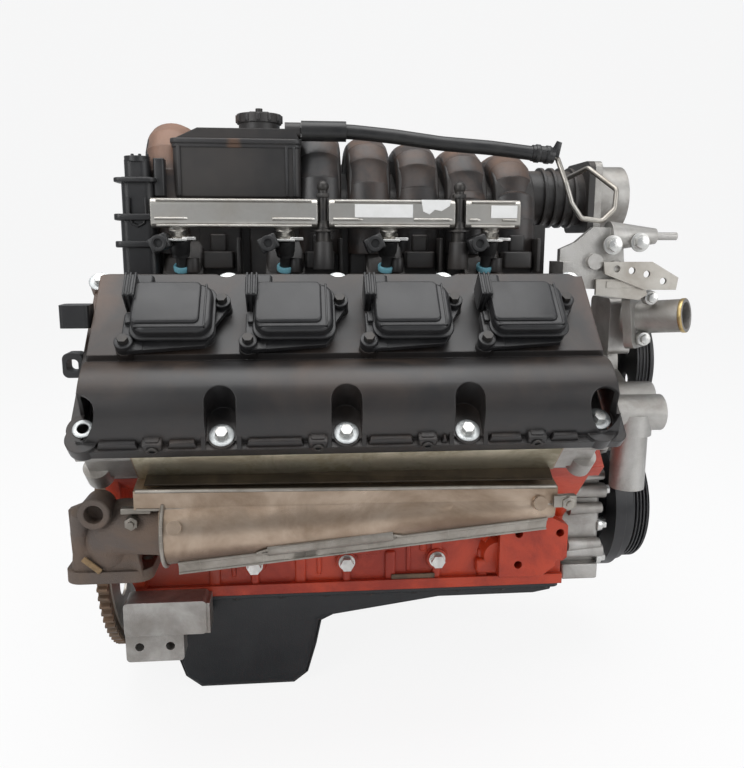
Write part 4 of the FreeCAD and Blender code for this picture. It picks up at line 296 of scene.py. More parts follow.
edges.links.new(rounded.outputs[0], result.inputs["Normal"])
print("group", edges.name)

# %% [markdown]
# ## Finishes
# Each finish is one material made from the four effects: two tones of the base colour in patches, dust over
# them, a bright or dark rub along edges, and a fine bump for the grain. The numbers are what tells cast
# aluminium from paint or moulded plastic, so one function builds them all from a short list.

# %% A finish from its numbers
def place_effect(tree, group, **values):
    """Puts a node group in a material with its own input values."""
    node = tree.nodes.new("ShaderNodeGroup")
    node.node_tree = group
    set_inputs(node, **values)
    return node


def mix_colour(tree, factor, first, second):
    """Mixes two colours, each a socket or an (r, g, b) tuple."""
    node = tree.nodes.new("ShaderNodeMix")
    node.data_type = "RGBA"
    for place, value in ((0, factor), (6, first), (7, second)):
        feed(tree, node.inputs[place], value)
    return node.outputs[2]


finishes = {}


def finish(name, tones, rough, metallic=0.0, patch=9.0, softness=0.2, grain_scale=900.0, coarse=0.3,
           bump=0.0004, dusty=0.0, dust_tone=(0.20, 0.13, 0.08), rub=0.0, rub_tone=(0.5, 0.5, 0.5),
           round_by=0.0008):
    """Adds a material with two tones, dust, rubbed edges and grain. Sizes are in metres."""
    material = bpy.data.materials.new(name)
    material.use_nodes = True
    tree = material.node_tree
    shader = tree.nodes["Principled BSDF"]
    set_inputs(shader, Metallic=metallic)
    patchy = place_effect(tree, patches, Scale=patch, Softness=softness).outputs["Mask"]
    colour = mix_colour(tree, patchy, tones[0], tones[1])
    film = place_effect(tree, dust, Amount=dusty, Scale=patch * 1.7).outputs["Mask"]
    colour = mix_colour(tree, film, colour, dust_tone)
    edge = place_effect(tree, edges, Radius=round_by, Amount=rub)
    colour = mix_colour(tree, edge.outputs["Mask"], colour, rub_tone)
    tree.links.new(colour, shader.inputs["Base Color"])
    dull = math_node(tree, "MULTIPLY", film, 0.35)
    level = math_node(tree, "ADD", math_node(tree, "MULTIPLY", patchy, rough[1] - rough[0]), rough[0])
    tree.links.new(math_node(tree, "ADD", level, dull, True), shader.inputs["Roughness"])
    relief = tree.nodes.new("ShaderNodeBump")
    set_inputs(relief, Strength=0.6, Distance=bump)
    texture = place_effect(tree, grain, Scale=grain_scale, Coarse=coarse)
    tree.links.new(texture.outputs["Height"], relief.inputs["Height"])
    tree.links.new(edge.outputs["Normal"], relief.inputs["Normal"])
    tree.links.new(relief.outputs["Normal"], shader.inputs["Normal"])
    finishes[name] = material


print("finish builder ready")

# %% Plastics and rubber
finish("cover_plastic", ((0.0125, 0.0120, 0.0125), (0.020, 0.018, 0.0175)), (0.30, 0.42), patch=7,
       softness=0.18, grain_scale=2200, bump=0.00012, dusty=0.28, dust_tone=(0.16, 0.10, 0.065),
       rub=0.25, rub_tone=(0.06, 0.055, 0.05), round_by=0.0016)
finish("coil_plastic", ((0.011, 0.011, 0.012), (0.017, 0.017, 0.018)), (0.30, 0.44), patch=16,
       grain_scale=3000, bump=0.0001, dusty=0.10, dust_tone=(0.09, 0.08, 0.07), rub=0.3,
       rub_tone=(0.07, 0.07, 0.07), round_by=0.0010)
finish("intake_plastic", ((0.022, 0.021, 0.021), (0.034, 0.031, 0.029)), (0.36, 0.52), patch=8,
       grain_scale=1800, bump=0.0002, dusty=0.45, dust_tone=(0.13, 0.095, 0.075), rub=0.3,
       rub_tone=(0.09, 0.085, 0.08), round_by=0.0018)
finish("hose_rubber", ((0.010, 0.010, 0.011), (0.018, 0.018, 0.018)), (0.28, 0.42), patch=30,
       grain_scale=2400, bump=0.0001, dusty=0.15, dust_tone=(0.10, 0.08, 0.06))
finish("injector_body", ((0.015, 0.015, 0.016), (0.03, 0.03, 0.03)), (0.35, 0.5), patch=40,
       grain_scale=3000, bump=0.0001, rub=0.3, rub_tone=(0.1, 0.1, 0.1))
print("plastics", len(finishes))

# %% Paints
finish("block_paint", ((0.50, 0.048, 0.013), (0.30, 0.024, 0.009)), (0.30, 0.46), patch=14, softness=0.14,
       grain_scale=620, coarse=0.9, bump=0.0007, dusty=0.22, dust_tone=(0.10, 0.045, 0.025), rub=0.5,
       rub_tone=(0.16, 0.07, 0.04), round_by=0.0015)
finish("pan_black", ((0.010, 0.012, 0.014), (0.018, 0.020, 0.022)), (0.30, 0.45), patch=11,
       grain_scale=700, coarse=0.8, bump=0.0003, dusty=0.12, dust_tone=(0.10, 0.09, 0.08), rub=0.3,
       rub_tone=(0.05, 0.05, 0.055), round_by=0.003)
finish("filter_paint", ((0.02, 0.02, 0.022), (0.03, 0.03, 0.032)), (0.25, 0.35), dusty=0.2)
finish("damper_black", ((0.016, 0.016, 0.018), (0.03, 0.03, 0.032)), (0.28, 0.42), patch=18,
       grain_scale=1200, bump=0.0001, dusty=0.2, dust_tone=(0.12, 0.11, 0.10), rub=0.6,
       rub_tone=(0.25, 0.25, 0.25), round_by=0.0007)
print("paints, all", len(finishes))

# %% Metals
finish("cast_aluminium", ((0.50, 0.49, 0.47), (0.26, 0.245, 0.225)), (0.34, 0.52), 0.8, patch=16,
       softness=0.25, grain_scale=850, coarse=0.7, bump=0.0006, dusty=0.35, dust_tone=(0.24, 0.19, 0.14),
       rub=0.6, rub_tone=(0.75, 0.74, 0.72))
finish("cast_iron", ((0.095, 0.075, 0.064), (0.15, 0.105, 0.078)), (0.55, 0.75), 0.3, patch=18,
       softness=0.16, grain_scale=700, coarse=1.0, bump=0.0011, dusty=0.4, dust_tone=(0.19, 0.14, 0.10),
       rub=0.4, rub_tone=(0.24, 0.20, 0.17), round_by=0.002)
finish("plated_steel", ((0.52, 0.50, 0.46), (0.36, 0.33, 0.29)), (0.30, 0.45), 0.95, patch=20,
       grain_scale=1600, bump=0.0001, dusty=0.3, rub=0.6, rub_tone=(0.72, 0.70, 0.66))
finish("bolt_steel", ((0.66, 0.66, 0.64), (0.48, 0.47, 0.45)), (0.26, 0.40), 0.95, patch=60,
       grain_scale=2400, bump=0.0001, rub=0.5, rub_tone=(0.85, 0.85, 0.83), round_by=0.0005)
finish("dark_steel", ((0.035, 0.034, 0.034), (0.06, 0.055, 0.05)), (0.32, 0.48), 0.6, patch=50,
       grain_scale=2400, bump=0.0001, rub=0.7, rub_tone=(0.22, 0.21, 0.20), round_by=0.0005)
finish("rail_steel", ((0.60, 0.585, 0.55), (0.42, 0.40, 0.365)), (0.26, 0.38), 0.95, patch=22,
       softness=0.3, grain_scale=1500, coarse=0.6, bump=0.00004, dusty=0.3, dust_tone=(0.34, 0.26, 0.19),
       round_by=0.0016)
finish("gear_steel", ((0.12, 0.095, 0.075), (0.20, 0.13, 0.085)), (0.42, 0.6), 0.8, patch=40,
       grain_scale=1500, bump=0.0002, rub=0.8, rub_tone=(0.34, 0.31, 0.28), round_by=0.0006)
finish("ground_steel", ((0.58, 0.58, 0.58), (0.46, 0.46, 0.46)), (0.20, 0.32), 1.0, patch=30,
       grain_scale=2600, bump=0.00005)
finish("forged_steel", ((0.30, 0.29, 0.28), (0.22, 0.21, 0.20)), (0.38, 0.52), 0.95, patch=22,
       grain_scale=900, bump=0.0003, rub=0.5, rub_tone=(0.5, 0.5, 0.5))
finish("gasket_steel", ((0.30, 0.30, 0.31), (0.18, 0.18, 0.18)), (0.4, 0.55), 0.8, patch=26)
finish("plug_ceramic", ((0.62, 0.61, 0.59), (0.48, 0.47, 0.45)), (0.25, 0.4), 0.8, patch=60)
finish("brass_plate", ((0.62, 0.47, 0.22), (0.45, 0.33, 0.15)), (0.28, 0.42), 1.0, patch=30)
finish("shield_steel", ((0.46, 0.365, 0.285), (0.23, 0.165, 0.115)), (0.26, 0.42), 0.95, patch=13,
       softness=0.22, grain_scale=1300, coarse=0.8, bump=0.0003, dusty=0.3, dust_tone=(0.13, 0.095, 0.06),
       rub=0.5, rub_tone=(0.56, 0.50, 0.40), round_by=0.001)
print("finishes", len(finishes))

# %% Small finishes
finish("zinc_washer", ((0.60, 0.62, 0.62), (0.44, 0.46, 0.46)), (0.30, 0.45), 0.7, patch=70,
       grain_scale=2600, bump=0.0001, dusty=0.15, dust_tone=(0.40, 0.38, 0.34))
finish("sticker_paper", ((0.84, 0.84, 0.83), (0.72, 0.72, 0.70)), (0.35, 0.5), patch=40, softness=0.35,
       bump=0.00005, dusty=0.1, dust_tone=(0.5, 0.47, 0.42))
finish("seal_blue", ((0.22, 0.52, 0.62), (0.15, 0.40, 0.50)), (0.3, 0.45), patch=80, bump=0.00005)
finish("runner_plastic", ((0.020, 0.020, 0.021), (0.034, 0.031, 0.030)), (0.28, 0.42), patch=7,
       grain_scale=1500, bump=0.0002, dusty=0.8, dust_tone=(0.20, 0.115, 0.075), round_by=0.002)
finish("bare_iron", ((0.17, 0.115, 0.075), (0.10, 0.075, 0.055)), (0.5, 0.7), 0.5, patch=45,
       grain_scale=800, coarse=0.8, bump=0.0005, rub=0.4, rub_tone=(0.3, 0.24, 0.18))
finish("seam_steel", ((0.36, 0.335, 0.30), (0.22, 0.20, 0.175)), (0.34, 0.5), 0.9, patch=24,
       grain_scale=1400, bump=0.0003, dusty=0.3, dust_tone=(0.20, 0.16, 0.12), rub=0.5,
       rub_tone=(0.68, 0.64, 0.56))
# painted shade: near-black for the rods that fill the wiring holes as their shadow
finish("hole_shade_black", ((0.006, 0.006, 0.007), (0.011, 0.011, 0.012)), (0.4, 0.6), patch=30)
finish("grey_band", ((0.11, 0.11, 0.12), (0.075, 0.075, 0.085)), (0.3, 0.42), 0.4, patch=20,
       grain_scale=1400, bump=0.0001, dusty=0.2, dust_tone=(0.15, 0.13, 0.11))
finish("vent_plastic", ((0.020, 0.021, 0.023), (0.030, 0.029, 0.029)), (0.34, 0.5), patch=9,
       grain_scale=1800, bump=0.0002, dusty=0.4, dust_tone=(0.13, 0.085, 0.06), rub=0.3,
       rub_tone=(0.09, 0.085, 0.08), round_by=0.0018)
finish("bare_tan", ((0.26, 0.17, 0.085), (0.15, 0.10, 0.05)), (0.4, 0.55), 0.4, patch=80)
# painted shade: dark brown for the sheet that stands for the shade in the shield channel
finish("painted_shade_brown", ((0.035, 0.027, 0.019), (0.075, 0.056, 0.036)), (0.45, 0.6), 0.6, patch=24,
       grain_scale=1300, bump=0.0002)
# painted light: a lighter copy of the shield steel, for the plate where it catches the light
finish("painted_light_steel", ((0.50, 0.46, 0.36), (0.25, 0.22, 0.15)), (0.28, 0.48), 0.9, patch=17,
       softness=0.12, grain_scale=1400, coarse=0.7, bump=0.0002, dusty=0.35, dust_tone=(0.16, 0.12, 0.075))
print("finishes", len(finishes))

# %% [markdown]
# ## Stains and painted shade in places
# Brown dust and rust don't lie evenly: they gather at the ends of the cover and run down the vent box in one
# streak. The same mask also paints shade: the rear end of the block is darkened as a painted shadow. A node
# group measures how far a point lies from the mark's centre, stretched by its reach along each axis, and
# breaks the outline with noise. The function below lays that mask over a finish.

# %% Stain and painted shade mask
stain_and_shade_inputs = [("X", 0.0), ("Y", 0.0), ("Z", 0.0), ("Reach X", 0.05), ("Reach Y", 0.05), ("Reach Z", 0.05),
                ("Amount", 0.7)]
stain_and_shade_mask, given, result = effect("stain_and_shade_mask", stain_and_shade_inputs, [("Mask", "NodeSocketFloat")])
place = stain_and_shade_mask.nodes.new("ShaderNodeTexCoord").outputs["Object"]
parts = stain_and_shade_mask.nodes.new("ShaderNodeSeparateXYZ")
stain_and_shade_mask.links.new(place, parts.inputs[0])
squares = []
for axis in "XYZ":
    away = math_node(stain_and_shade_mask, "SUBTRACT", parts.outputs[axis], given.outputs[axis])
    share = math_node(stain_and_shade_mask, "DIVIDE", away, given.outputs["Reach " + axis])
    squares.append(math_node(stain_and_shade_mask, "MULTIPLY", share, share))
distance = math_node(stain_and_shade_mask, "ADD", math_node(stain_and_shade_mask, "ADD", squares[0], squares[1]), squares[2])
ragged = math_node(stain_and_shade_mask, "ADD", distance, noise(stain_and_shade_mask, place, 34.0, 6.0, 0.65, 0.5))
inside = math_node(stain_and_shade_mask, "SUBTRACT", 1.0, spread(stain_and_shade_mask, ragged, 0.55, 1.45))
shown = math_node(stain_and_shade_mask, "MULTIPLY", inside, given.outputs["Amount"], True)
stain_and_shade_mask.links.new(shown, result.inputs["Mask"])


def lay_stain_and_shade(name, centre, reach, tone, amount):
    """Lays a stain, and in one place a painted shadow, over a finish; centre and reach are in metres."""
    tree = finishes[name].node_tree
    socket = tree.nodes["Principled BSDF"].inputs["Base Color"]
    below = socket.links[0].from_socket
    values = dict(zip("XYZ", centre)) | dict(zip(("Reach X", "Reach Y", "Reach Z"), reach))
    mask = place_effect(tree, stain_and_shade_mask, Amount=amount, **values).outputs["Mask"]
    tree.links.new(mix_colour(tree, mask, below, tone), socket)


RUST_BROWN = (0.115, 0.062, 0.036)
STAINS_AND_SHADE = (
    ("vent_plastic", (0.134, -0.09, 0.44), (0.011, 0.09, 0.07), RUST_BROWN, 0.8),
    ("cover_plastic", (-0.005, -0.20, 0.30), (0.045, 0.08, 0.07), RUST_BROWN, 0.7),
    ("cover_plastic", (0.515, -0.21, 0.27), (0.04, 0.09, 0.12), (0.075, 0.042, 0.03), 0.7),
    ("runner_plastic", (0.058, -0.05, 0.47), (0.05, 0.12, 0.06), (0.27, 0.15, 0.10), 0.8),
    ("shield_steel", (0.14, -0.32, 0.055), (0.12, 0.05, 0.02), (0.13, 0.085, 0.06), 0.75),
    ("shield_steel", (0.36, -0.31, 0.080), (0.09, 0.05, 0.014), (0.15, 0.10, 0.07), 0.7),
    ("cast_aluminium", (0.11, -0.10, -0.10), (0.10, 0.06, 0.03), (0.20, 0.17, 0.14), 0.5),
    # painted shadow: the rear end of the block is darkened as shade, not stained
    ("block_paint", (0.06, -0.11, -0.03), (0.09, 0.08, 0.08), (0.12, 0.022, 0.012), 0.6),
)
for spot in STAINS_AND_SHADE:
    lay_stain_and_shade(*spot)
print("stained", stain_and_shade_mask.name)

# %% [markdown]
# ## Dress the CAD pieces
# The record says which material slot each CAD node takes, so the finishes carry the same names. That keeps one
# list in one place: a node moved to another slot in the record changes its look here with no edit.

# %% Give every node its finish
slot_of = {part["node"]: part["material_slot"] for part in frame["record"]["subparts"]}
for name, node in nodes.items():
    node.data.materials.clear()
    node.data.materials.append(finishes[slot_of[name]])
print("dressed", len(nodes), "nodes, missing", sorted(set(slot_of.values()) - set(finishes)))

# %% [markdown]
# ## Small shapes
# Many details on an engine are small blocks, rods, rings and bent bars. Each helper below adds one such shape
# to a bmesh in millimetres; `make_piece` then joins them into one object in metres. The shapes of a bank are
# drawn in the bank's own frame (along, inboard, up the bores) and turned by its 45 degrees, so they stay
# square to the cover they sit on.

# %% Directions of a bank
MM = 0.001
BANK = Matrix.Rotation(math.radians(45), 4, "X")
BANK_SHIFT = 24.0
UPRIGHT = Matrix.Identity(4)
BORE_PITCH, FIRST_BORE = 113.3, 75.25
CYLINDERS = [FIRST_BORE + BORE_PITCH * k for k in range(4)]
COIL_CENTRES = [x + 10 for x in CYLINDERS]
LOWER_BOLTS = [x + BORE_PITCH / 2 for x in CYLINDERS[:3]]
UPPER_BOLTS = (0, 130, 244, 357, 497)
WIRING_CLIPS = (70.8, 219, 319.9, 423.2)
RAIL_STUDS = (230.2, 379.5)
CROSS_BOLTS = (143.9, 257.2, 370.5)
print("cylinders at", [round(x, 1) for x in CYLINDERS])

# %% Blocks, rods and balls
def linked(seeds):
    """Every vertex joined to the given ones by edges."""
    found, queue = set(seeds), list(seeds)
    while queue:
        for joined in queue.pop().link_edges:
            for vert in joined.verts:
                if vert not in found:
                    found.add(vert)
                    queue.append(vert)
    return list(found)


def round_off(mesh, edges, width, segments):
    """Bevels edges into an arc and returns every vertex of the shape they belong to."""
    made = bmesh.ops.bevel(mesh, geom=list(edges), offset=width, offset_type="OFFSET", affect="EDGES",
                           segments=segments, profile=0.5, material=-1)
    return linked(made["verts"])


def add_block(mesh, low, high, turn=UPRIGHT, corner=0.0, edge=0.0):
    """A box between two corners; its upright edges are rounded by corner and the rest by edge."""
    low, high = Vector(low), Vector(high)
    place = Matrix.Translation((low + high) / 2) @ Matrix.Diagonal((*(high - low), 1))
    verts = bmesh.ops.create_cube(mesh, size=1, matrix=place)["verts"]
    if corner:
        upright = {e for v in verts for e in v.link_edges if abs((e.verts[0].co - e.verts[1].co).z) > 1e-6}
        verts = round_off(mesh, upright, corner, 5)
    if edge:
        flat = {e for v in verts for e in v.link_edges if e.calc_face_angle(0) > 1.0}
        verts = round_off(mesh, flat, edge, 3)
    bmesh.ops.transform(mesh, matrix=turn, verts=verts)
    return verts


def add_rod(mesh, start, end, radius, tip=None, sides=24, turn=UPRIGHT):
    """A round bar, or a cone when tip is given, between two points."""
    start, end = Vector(start), Vector(end)
    along = end - start
    place = Matrix.Translation((start + end) / 2) @ along.to_track_quat("Z", "Y").to_matrix().to_4x4()
    return bmesh.ops.create_cone(mesh, cap_ends=True, segments=sides, radius1=radius,
                                 radius2=radius if tip is None else tip, depth=along.length,
                                 matrix=turn @ place)["verts"]


def add_ring(mesh, centre, axis, inner, outer, height, turn=UPRIGHT, sides=32):
    """A flat ring, spun from a small rectangle."""
    place = turn @ Matrix.Translation(centre) @ Vector(axis).to_track_quat("Z", "Y").to_matrix().to_4x4()
    outline = ((inner, 0, 0), (outer, 0, 0), (outer, 0, height), (inner, 0, height))
    corners = [mesh.verts.new(place @ Vector(p)) for p in outline]
    border = [mesh.edges.new((corners[k], corners[(k + 1) % 4])) for k in range(4)]
    centre, axis = place.translation, place.to_3x3() @ Vector((0, 0, 1))
    return bmesh.ops.spin(mesh, geom=corners + border, cent=centre, axis=axis, angle=2 * math.pi, steps=sides,
                          use_merge=True)


def add_bar(mesh, points, radius, sides=14, turn=UPRIGHT, width=1.0):
    """A bent bar: one disc extruded from point to point; width stretches it along the engine."""
    points = [turn @ Vector(p) for p in points]
    ways = [(b - a).normalized() for a, b in zip(points, points[1:])]
    ways = [ways[0]] + [(a + b).normalized() for a, b in zip(ways, ways[1:])] + [ways[-1]]
    place = Matrix.Translation(points[0]) @ ways[0].to_track_quat("Z", "Y").to_matrix().to_4x4()
    verts = bmesh.ops.create_circle(mesh, cap_ends=True, segments=sides, radius=radius, matrix=place)["verts"]
    bmesh.ops.scale(mesh, verts=verts, vec=(width, 1, 1), space=Matrix.Translation(-points[0]))
    face = verts[0].link_faces[0]
    for a, b, old, new in zip(points, points[1:], ways, ways[1:]):
        grown = bmesh.ops.extrude_face_region(mesh, geom=[face])["geom"]
        verts = [g for g in grown if isinstance(g, BMVert)]
        face = next(g for g in grown if isinstance(g, BMFace))
        bmesh.ops.translate(mesh, verts=verts, vec=b - a)
        bmesh.ops.rotate(mesh, verts=verts, cent=b, matrix=old.rotation_difference(new).to_matrix())


def add_sheet(mesh, points, thickness, turn=UPRIGHT):
    """A flat plate from its outline, pushed out by a thickness vector."""
    face = mesh.faces.new([mesh.verts.new(turn @ Vector(p)) for p in points])
    grown = bmesh.ops.extrude_face_region(mesh, geom=[face])["geom"]
    verts = [g for g in grown if isinstance(g, BMVert)]
    bmesh.ops.translate(mesh, verts=verts, vec=turn.to_3x3() @ Vector(thickness))


print("shape helpers ready")

# %% Make a piece of them
def mirror_bank(mesh):
    """Adds the other bank's copy: mirrored across the engine and moved by the bank offset."""
    copy = bmesh.ops.duplicate(mesh, geom=mesh.verts[:] + mesh.edges[:] + mesh.faces[:])["geom"]
    verts = [g for g in copy if isinstance(g, BMVert)]
    bmesh.ops.scale(mesh, verts=verts, vec=(1, -1, 1))
    bmesh.ops.translate(mesh, verts=verts, vec=(BANK_SHIFT, 0, 0))


def make_piece(name, mesh, slot, paint=None, both_banks=False, body="engine", rounding=0.0):
    """Turns a bmesh in millimetres into a finished object in metres."""
    if both_banks:
        mirror_bank(mesh)
    bmesh.ops.remove_doubles(mesh, verts=mesh.verts, dist=0.001)
    if rounding:
        sharp = [e for e in mesh.edges if len(e.link_faces) == 2 and e.calc_face_angle(0) > 0.6]
        bmesh.ops.bevel(mesh, geom=sharp, offset=rounding, offset_type="OFFSET", affect="EDGES", segments=2,
                        profile=0.5, clamp_overlap=True, material=-1)
    bmesh.ops.recalc_face_normals(mesh, faces=mesh.faces)
    bmesh.ops.scale(mesh, verts=mesh.verts, vec=(MM, MM, MM))
    data = bpy.data.meshes.new(name)
    mesh.to_mesh(data)
    mesh.free()
    data.shade_smooth()
    data.set_sharp_from_angle(angle=math.radians(35))
    data.materials.append(finishes[paint or slot])
    made = placed(name, data)
    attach(made, body)
    print(name, "faces", len(data.polygons))


# %% [markdown]
# ## Coil details
# An ignition coil is a potted plastic box: its lid has a seam lip all round, a raised panel on top, a thin web
# out to each screw and a plug-in connector at one corner. All are blocks with rounded corners, so one
# loop over the cylinders draws them, and the mirror gives the other bank.

# %% Coil lids, lips and connectors
COIL_BASE, COIL_CROWN, WEB_UP = 377.2, 399.2, 377.5
LOWER_WEB = ((-49, -22), (-40, -25), (30, -19), (36, -8), (-49, -8))
UPPER_WEB = ((51, 34), (49, 24), (39, 6), (33, 6), (33, 40), (42, 41))
coils = bmesh.new()
for x in COIL_CENTRES:
    add_block(coils, (x - 39, -16.5, 386), (x + 39.5, 46.5, 389.5), BANK, 12, 1.2)
    add_block(coils, (x - 36.5, -6, COIL_CROWN - 3), (x + 26, 43.5, COIL_CROWN + 2.6), BANK, 6, 2.2)
    add_block(coils, (x + 29.5, -10.5, COIL_CROWN - 3), (x + 31.5, 42, COIL_CROWN + 0.8), BANK, 0, 0.6)
    add_block(coils, (x - 33, -10.5, COIL_CROWN - 3), (x + 31.5, -8.5, COIL_CROWN + 0.8), BANK, 0, 0.6)
    add_block(coils, (x - 46, 24, 378), (x - 34, 50, 405), BANK, 4, 1.5)
    for step in (0, 4.5, 9):
        add_block(coils, (x - 45.5 + step, 22.8, 380), (x - 43.5 + step, 51.2, 406), BANK, 0, 0.6)
    add_block(coils, (x - 45.5, -12, COIL_BASE), (x - 36, 16, 387), BANK, 2, 1)
    add_block(coils, (x - 43.5, 2, 386), (x - 38, 14, 391), BANK, 1, 0.6)
    for web in (LOWER_WEB, UPPER_WEB):
        add_sheet(coils, [(x + along, inboard, WEB_UP) for along, inboard in web], (0, 0, 5), BANK)
make_piece("coil_lids_and_connectors", coils, "coil_plastic", both_banks=True)

# %% Collars around the coil screws
collars = bmesh.new()
for x in COIL_CENTRES:
    for side, inboard in ((-43, -17), (44, 31.5)):
        add_ring(collars, (x + side, inboard, 380), (0, 0, 1), 3.6, 8.6, 7.6, BANK)
make_piece("coil_screw_collars", collars, "coil_plastic", both_banks=True, rounding=0.8)

# %% [markdown]
# ## Cover flange
# The lower flange of the cover carries long bevelled bars between its bolts. They stiffen the flange, and their
# slanted ends catch the light. Each bar is a block with generous bevels.

# %% Flange bars
RAIL_UP = 335.2
BAR_SPANS = ((20, 60), (82, 112), (152, 208), (263, 309), (331, 341), (376, 412), (435, 466))
flange = bmesh.new()
for start, stop in BAR_SPANS:
    verts = add_block(flange, (start, -109.4, RAIL_UP + 5), (stop, -97, RAIL_UP + 17), BANK, 0, 0.7)
    crown = [v for v in verts if (BANK.inverted() @ v.co).z > RAIL_UP + 12]
    middle = BANK @ Vector(((start + stop) / 2, -103, RAIL_UP + 17))
    squeeze = Matrix.Diagonal((1 - 8 / (stop - start), 0.5, 1, 1))
    place = Matrix.Translation(middle) @ BANK
    bmesh.ops.transform(flange, matrix=place @ squeeze @ place.inverted(), verts=crown)
for x in WIRING_CLIPS:
    add_block(flange, (x - 9, -109.6, RAIL_UP + 2), (x + 9, -94, RAIL_UP + 19), BANK, 3, 1.2)
make_piece("cover_flange_bars", flange, "cover_plastic", both_banks=True)

# %% Rings round the wiring holes and painted shade in them
HOLE_R, HOLE_UP = 2.6, RAIL_UP + 12
clips, hole_shades = bmesh.new(), bmesh.new()
for x in WIRING_CLIPS:
    add_ring(clips, (x, -109.7, HOLE_UP), (0, -1, 0), HOLE_R, 5.4, 2.2, BANK)
    add_rod(hole_shades, (x, -108, HOLE_UP), (x, -110.2, HOLE_UP), HOLE_R, turn=BANK)
make_piece("wiring_hole_rings", clips, "dark_steel", both_banks=True, rounding=0.5)
make_piece("wiring_hole_shadows", hole_shades, "coil_plastic", paint="hole_shade_black", both_banks=True)

# %% Wide washers under the cover bolts
WASHER_UP = RAIL_UP + 14.05
washers = bmesh.new()
FRONT_EAR = (487, -87)
for x, inboard in [(x, -97) for x in LOWER_BOLTS] + [FRONT_EAR] + [(x, 90) for x in UPPER_BOLTS]:
    add_ring(washers, (x, inboard, WASHER_UP), (0, 0, 1), 5.6, 11.6, 1.6, BANK, 40)
make_piece("cover_bolt_washers", washers, "bolt_steel", paint="zinc_washer", both_banks=True, rounding=0.3)

# %% [markdown]
# ## Fuel rail dressing
# The rail is pressed from sheet, so beads run along its edges and break off in short creases at its ends. Two
# blank white stickers and a torn one are thin plates, a fifth of a millimetre proud of the steel.

# %% Pressed beads on the rails
RAIL_FACE, RAIL_LOW, RAIL_TOP = -160.0, 366.0, 397.0
RAIL_SECTIONS = ((49.0, 224.0), (236.5, 373.5), (385.5, 446.0))
beads = bmesh.new()
for start, stop in RAIL_SECTIONS:
    for z in (RAIL_LOW + 2.4, RAIL_TOP - 2.4):
        add_bar(beads, [(start + 6, RAIL_FACE + 0.4, z), (stop - 6, RAIL_FACE + 0.4, z)], 1.5, 10)
    reach = min(48, (stop - start) * 0.33)
    for a, b in ((start + 4, start + reach * 0.8), (stop - reach, stop - 3)):
        add_bar(beads, [(a, RAIL_FACE, RAIL_LOW + 9.5), (b - 4, RAIL_FACE, RAIL_LOW + 9.5),
                        (b, RAIL_FACE + 1.6, RAIL_LOW + 9.5)], 1.7, 10)
make_piece("rail_beads", beads, "rail_steel", both_banks=True)

# %% Blank stickers
stickers = bmesh.new()
for a, b, low, high in ((264, 327, 377.5, 391.5), (413, 442, 377.5, 391)):
    add_block(stickers, (a, RAIL_FACE - 1.35, low), (b, RAIL_FACE + 0.2, high))
make_piece("blank_stickers", stickers, "rail_steel", paint="sticker_paper")
torn = bmesh.new()
TORN_EDGE = ((336, 396.5), (338, 384), (345, 381), (351, 386), (358, 384.5), (367, 390), (369, 396.5))
add_sheet(torn, [(x, RAIL_FACE - 1.2, z) for x, z in TORN_EDGE], (0, 1.4, 0))
make_piece("torn_sticker", torn, "rail_steel", paint="sticker_paper")

# %% [markdown]
# ## Injector fittings
# Each injector hangs in a bright cup under the rail, held by a spring clip, with a wiring socket to one side
# and a pale blue seal at its foot. They follow the injector's own slanting line.

# %% Cups, clips, sockets and seals
INJECTOR_HEAD, INJECTOR_TIP = Vector((0, -149, 368)), Vector((0, -126, 318))
slant = (INJECTOR_TIP - INJECTOR_HEAD).normalized()
cups, clips, sockets, seals = (bmesh.new() for _ in range(4))
for x in CYLINDERS:
    head = INJECTOR_HEAD + Vector((x, 0, 0))
    add_ring(cups, head + slant * 9, slant, 7.3, 11.2, 3.5)
    add_ring(cups, head + slant * 1, slant, 7.3, 10.2, 3.0)
    add_block(clips, (x + 6, -163, 353), (x + 20, -158, 356.5), edge=0.6)
    add_block(clips, (x - 11, -164, 352), (x + 11, -152, 354.6), edge=0.6)
    add_rod(sockets, head + slant * 14, head + slant * 30, 11.5, 10.5)
    tilt = Matrix.Translation((x - 17, -162, 350)) @ Matrix.Rotation(math.radians(-24), 4, "Y")
    add_block(sockets, (-10, -10, -8), (10, 12, 8), tilt, 0, 1.6)
    add_ring(sockets, (x - 17, -176, 350), (0, 1, 0), 4.5, 8.5, 7)
    add_ring(seals, head + slant * 46, slant, 6.1, 9.6, 6.5)
make_piece("injector_cups", cups, "rail_steel", both_banks=True, rounding=0.5)
make_piece("injector_clips", clips, "bolt_steel", both_banks=True)
make_piece("injector_sockets", sockets, "injector_body", both_banks=True, rounding=0.5)
make_piece("injector_seals", seals, "injector_body", paint="seal_blue", both_banks=True, rounding=1.2)

# %% [markdown]
# ## Rounded runners
# The intake runners are blow-moulded tubes that curl over the plenum. Their round backs come from one bar per
# runner, as wide as the runner, that follows the curl and stands a little proud of it.

# %% Runner backs
RUNNER_TOPS = (478, 478, 478, 472, 466, 460, 454, 448)
RUNNER_FOOT = ((-100, 338), (-100, 378), (-99, 396))
RUNNER_CURL = ((-95, 52), (-86, 30), (-71, 16), (-50, 8), (-24, 6), (5, 8), (32, 16), (56, 32), (72, 50),
               (84, 74), (88, 100))
COVERED_BY_VENT_BOX = (1, 2)
runners = bmesh.new()
for k, top in enumerate(RUNNER_TOPS):
    x = FIRST_BORE - 17 + BORE_PITCH / 2 * k
    if k in COVERED_BY_VENT_BOX:
        continue
    line = [(x, y, z) for y, z in RUNNER_FOOT] + [(x, y, top - drop) for y, drop in RUNNER_CURL]
    add_bar(runners, line, 17.0, 28, width=1.46)
make_piece("runner_backs", runners, "intake_plastic", paint="runner_plastic")

# %% [markdown]
# ## Vent box and actuator
# The vent box has a lid whose lip overhangs the wall, corner ribs and a screwed cap with finger fins. The
# actuator beside it wears an upright oval socket and a raised U on its face.

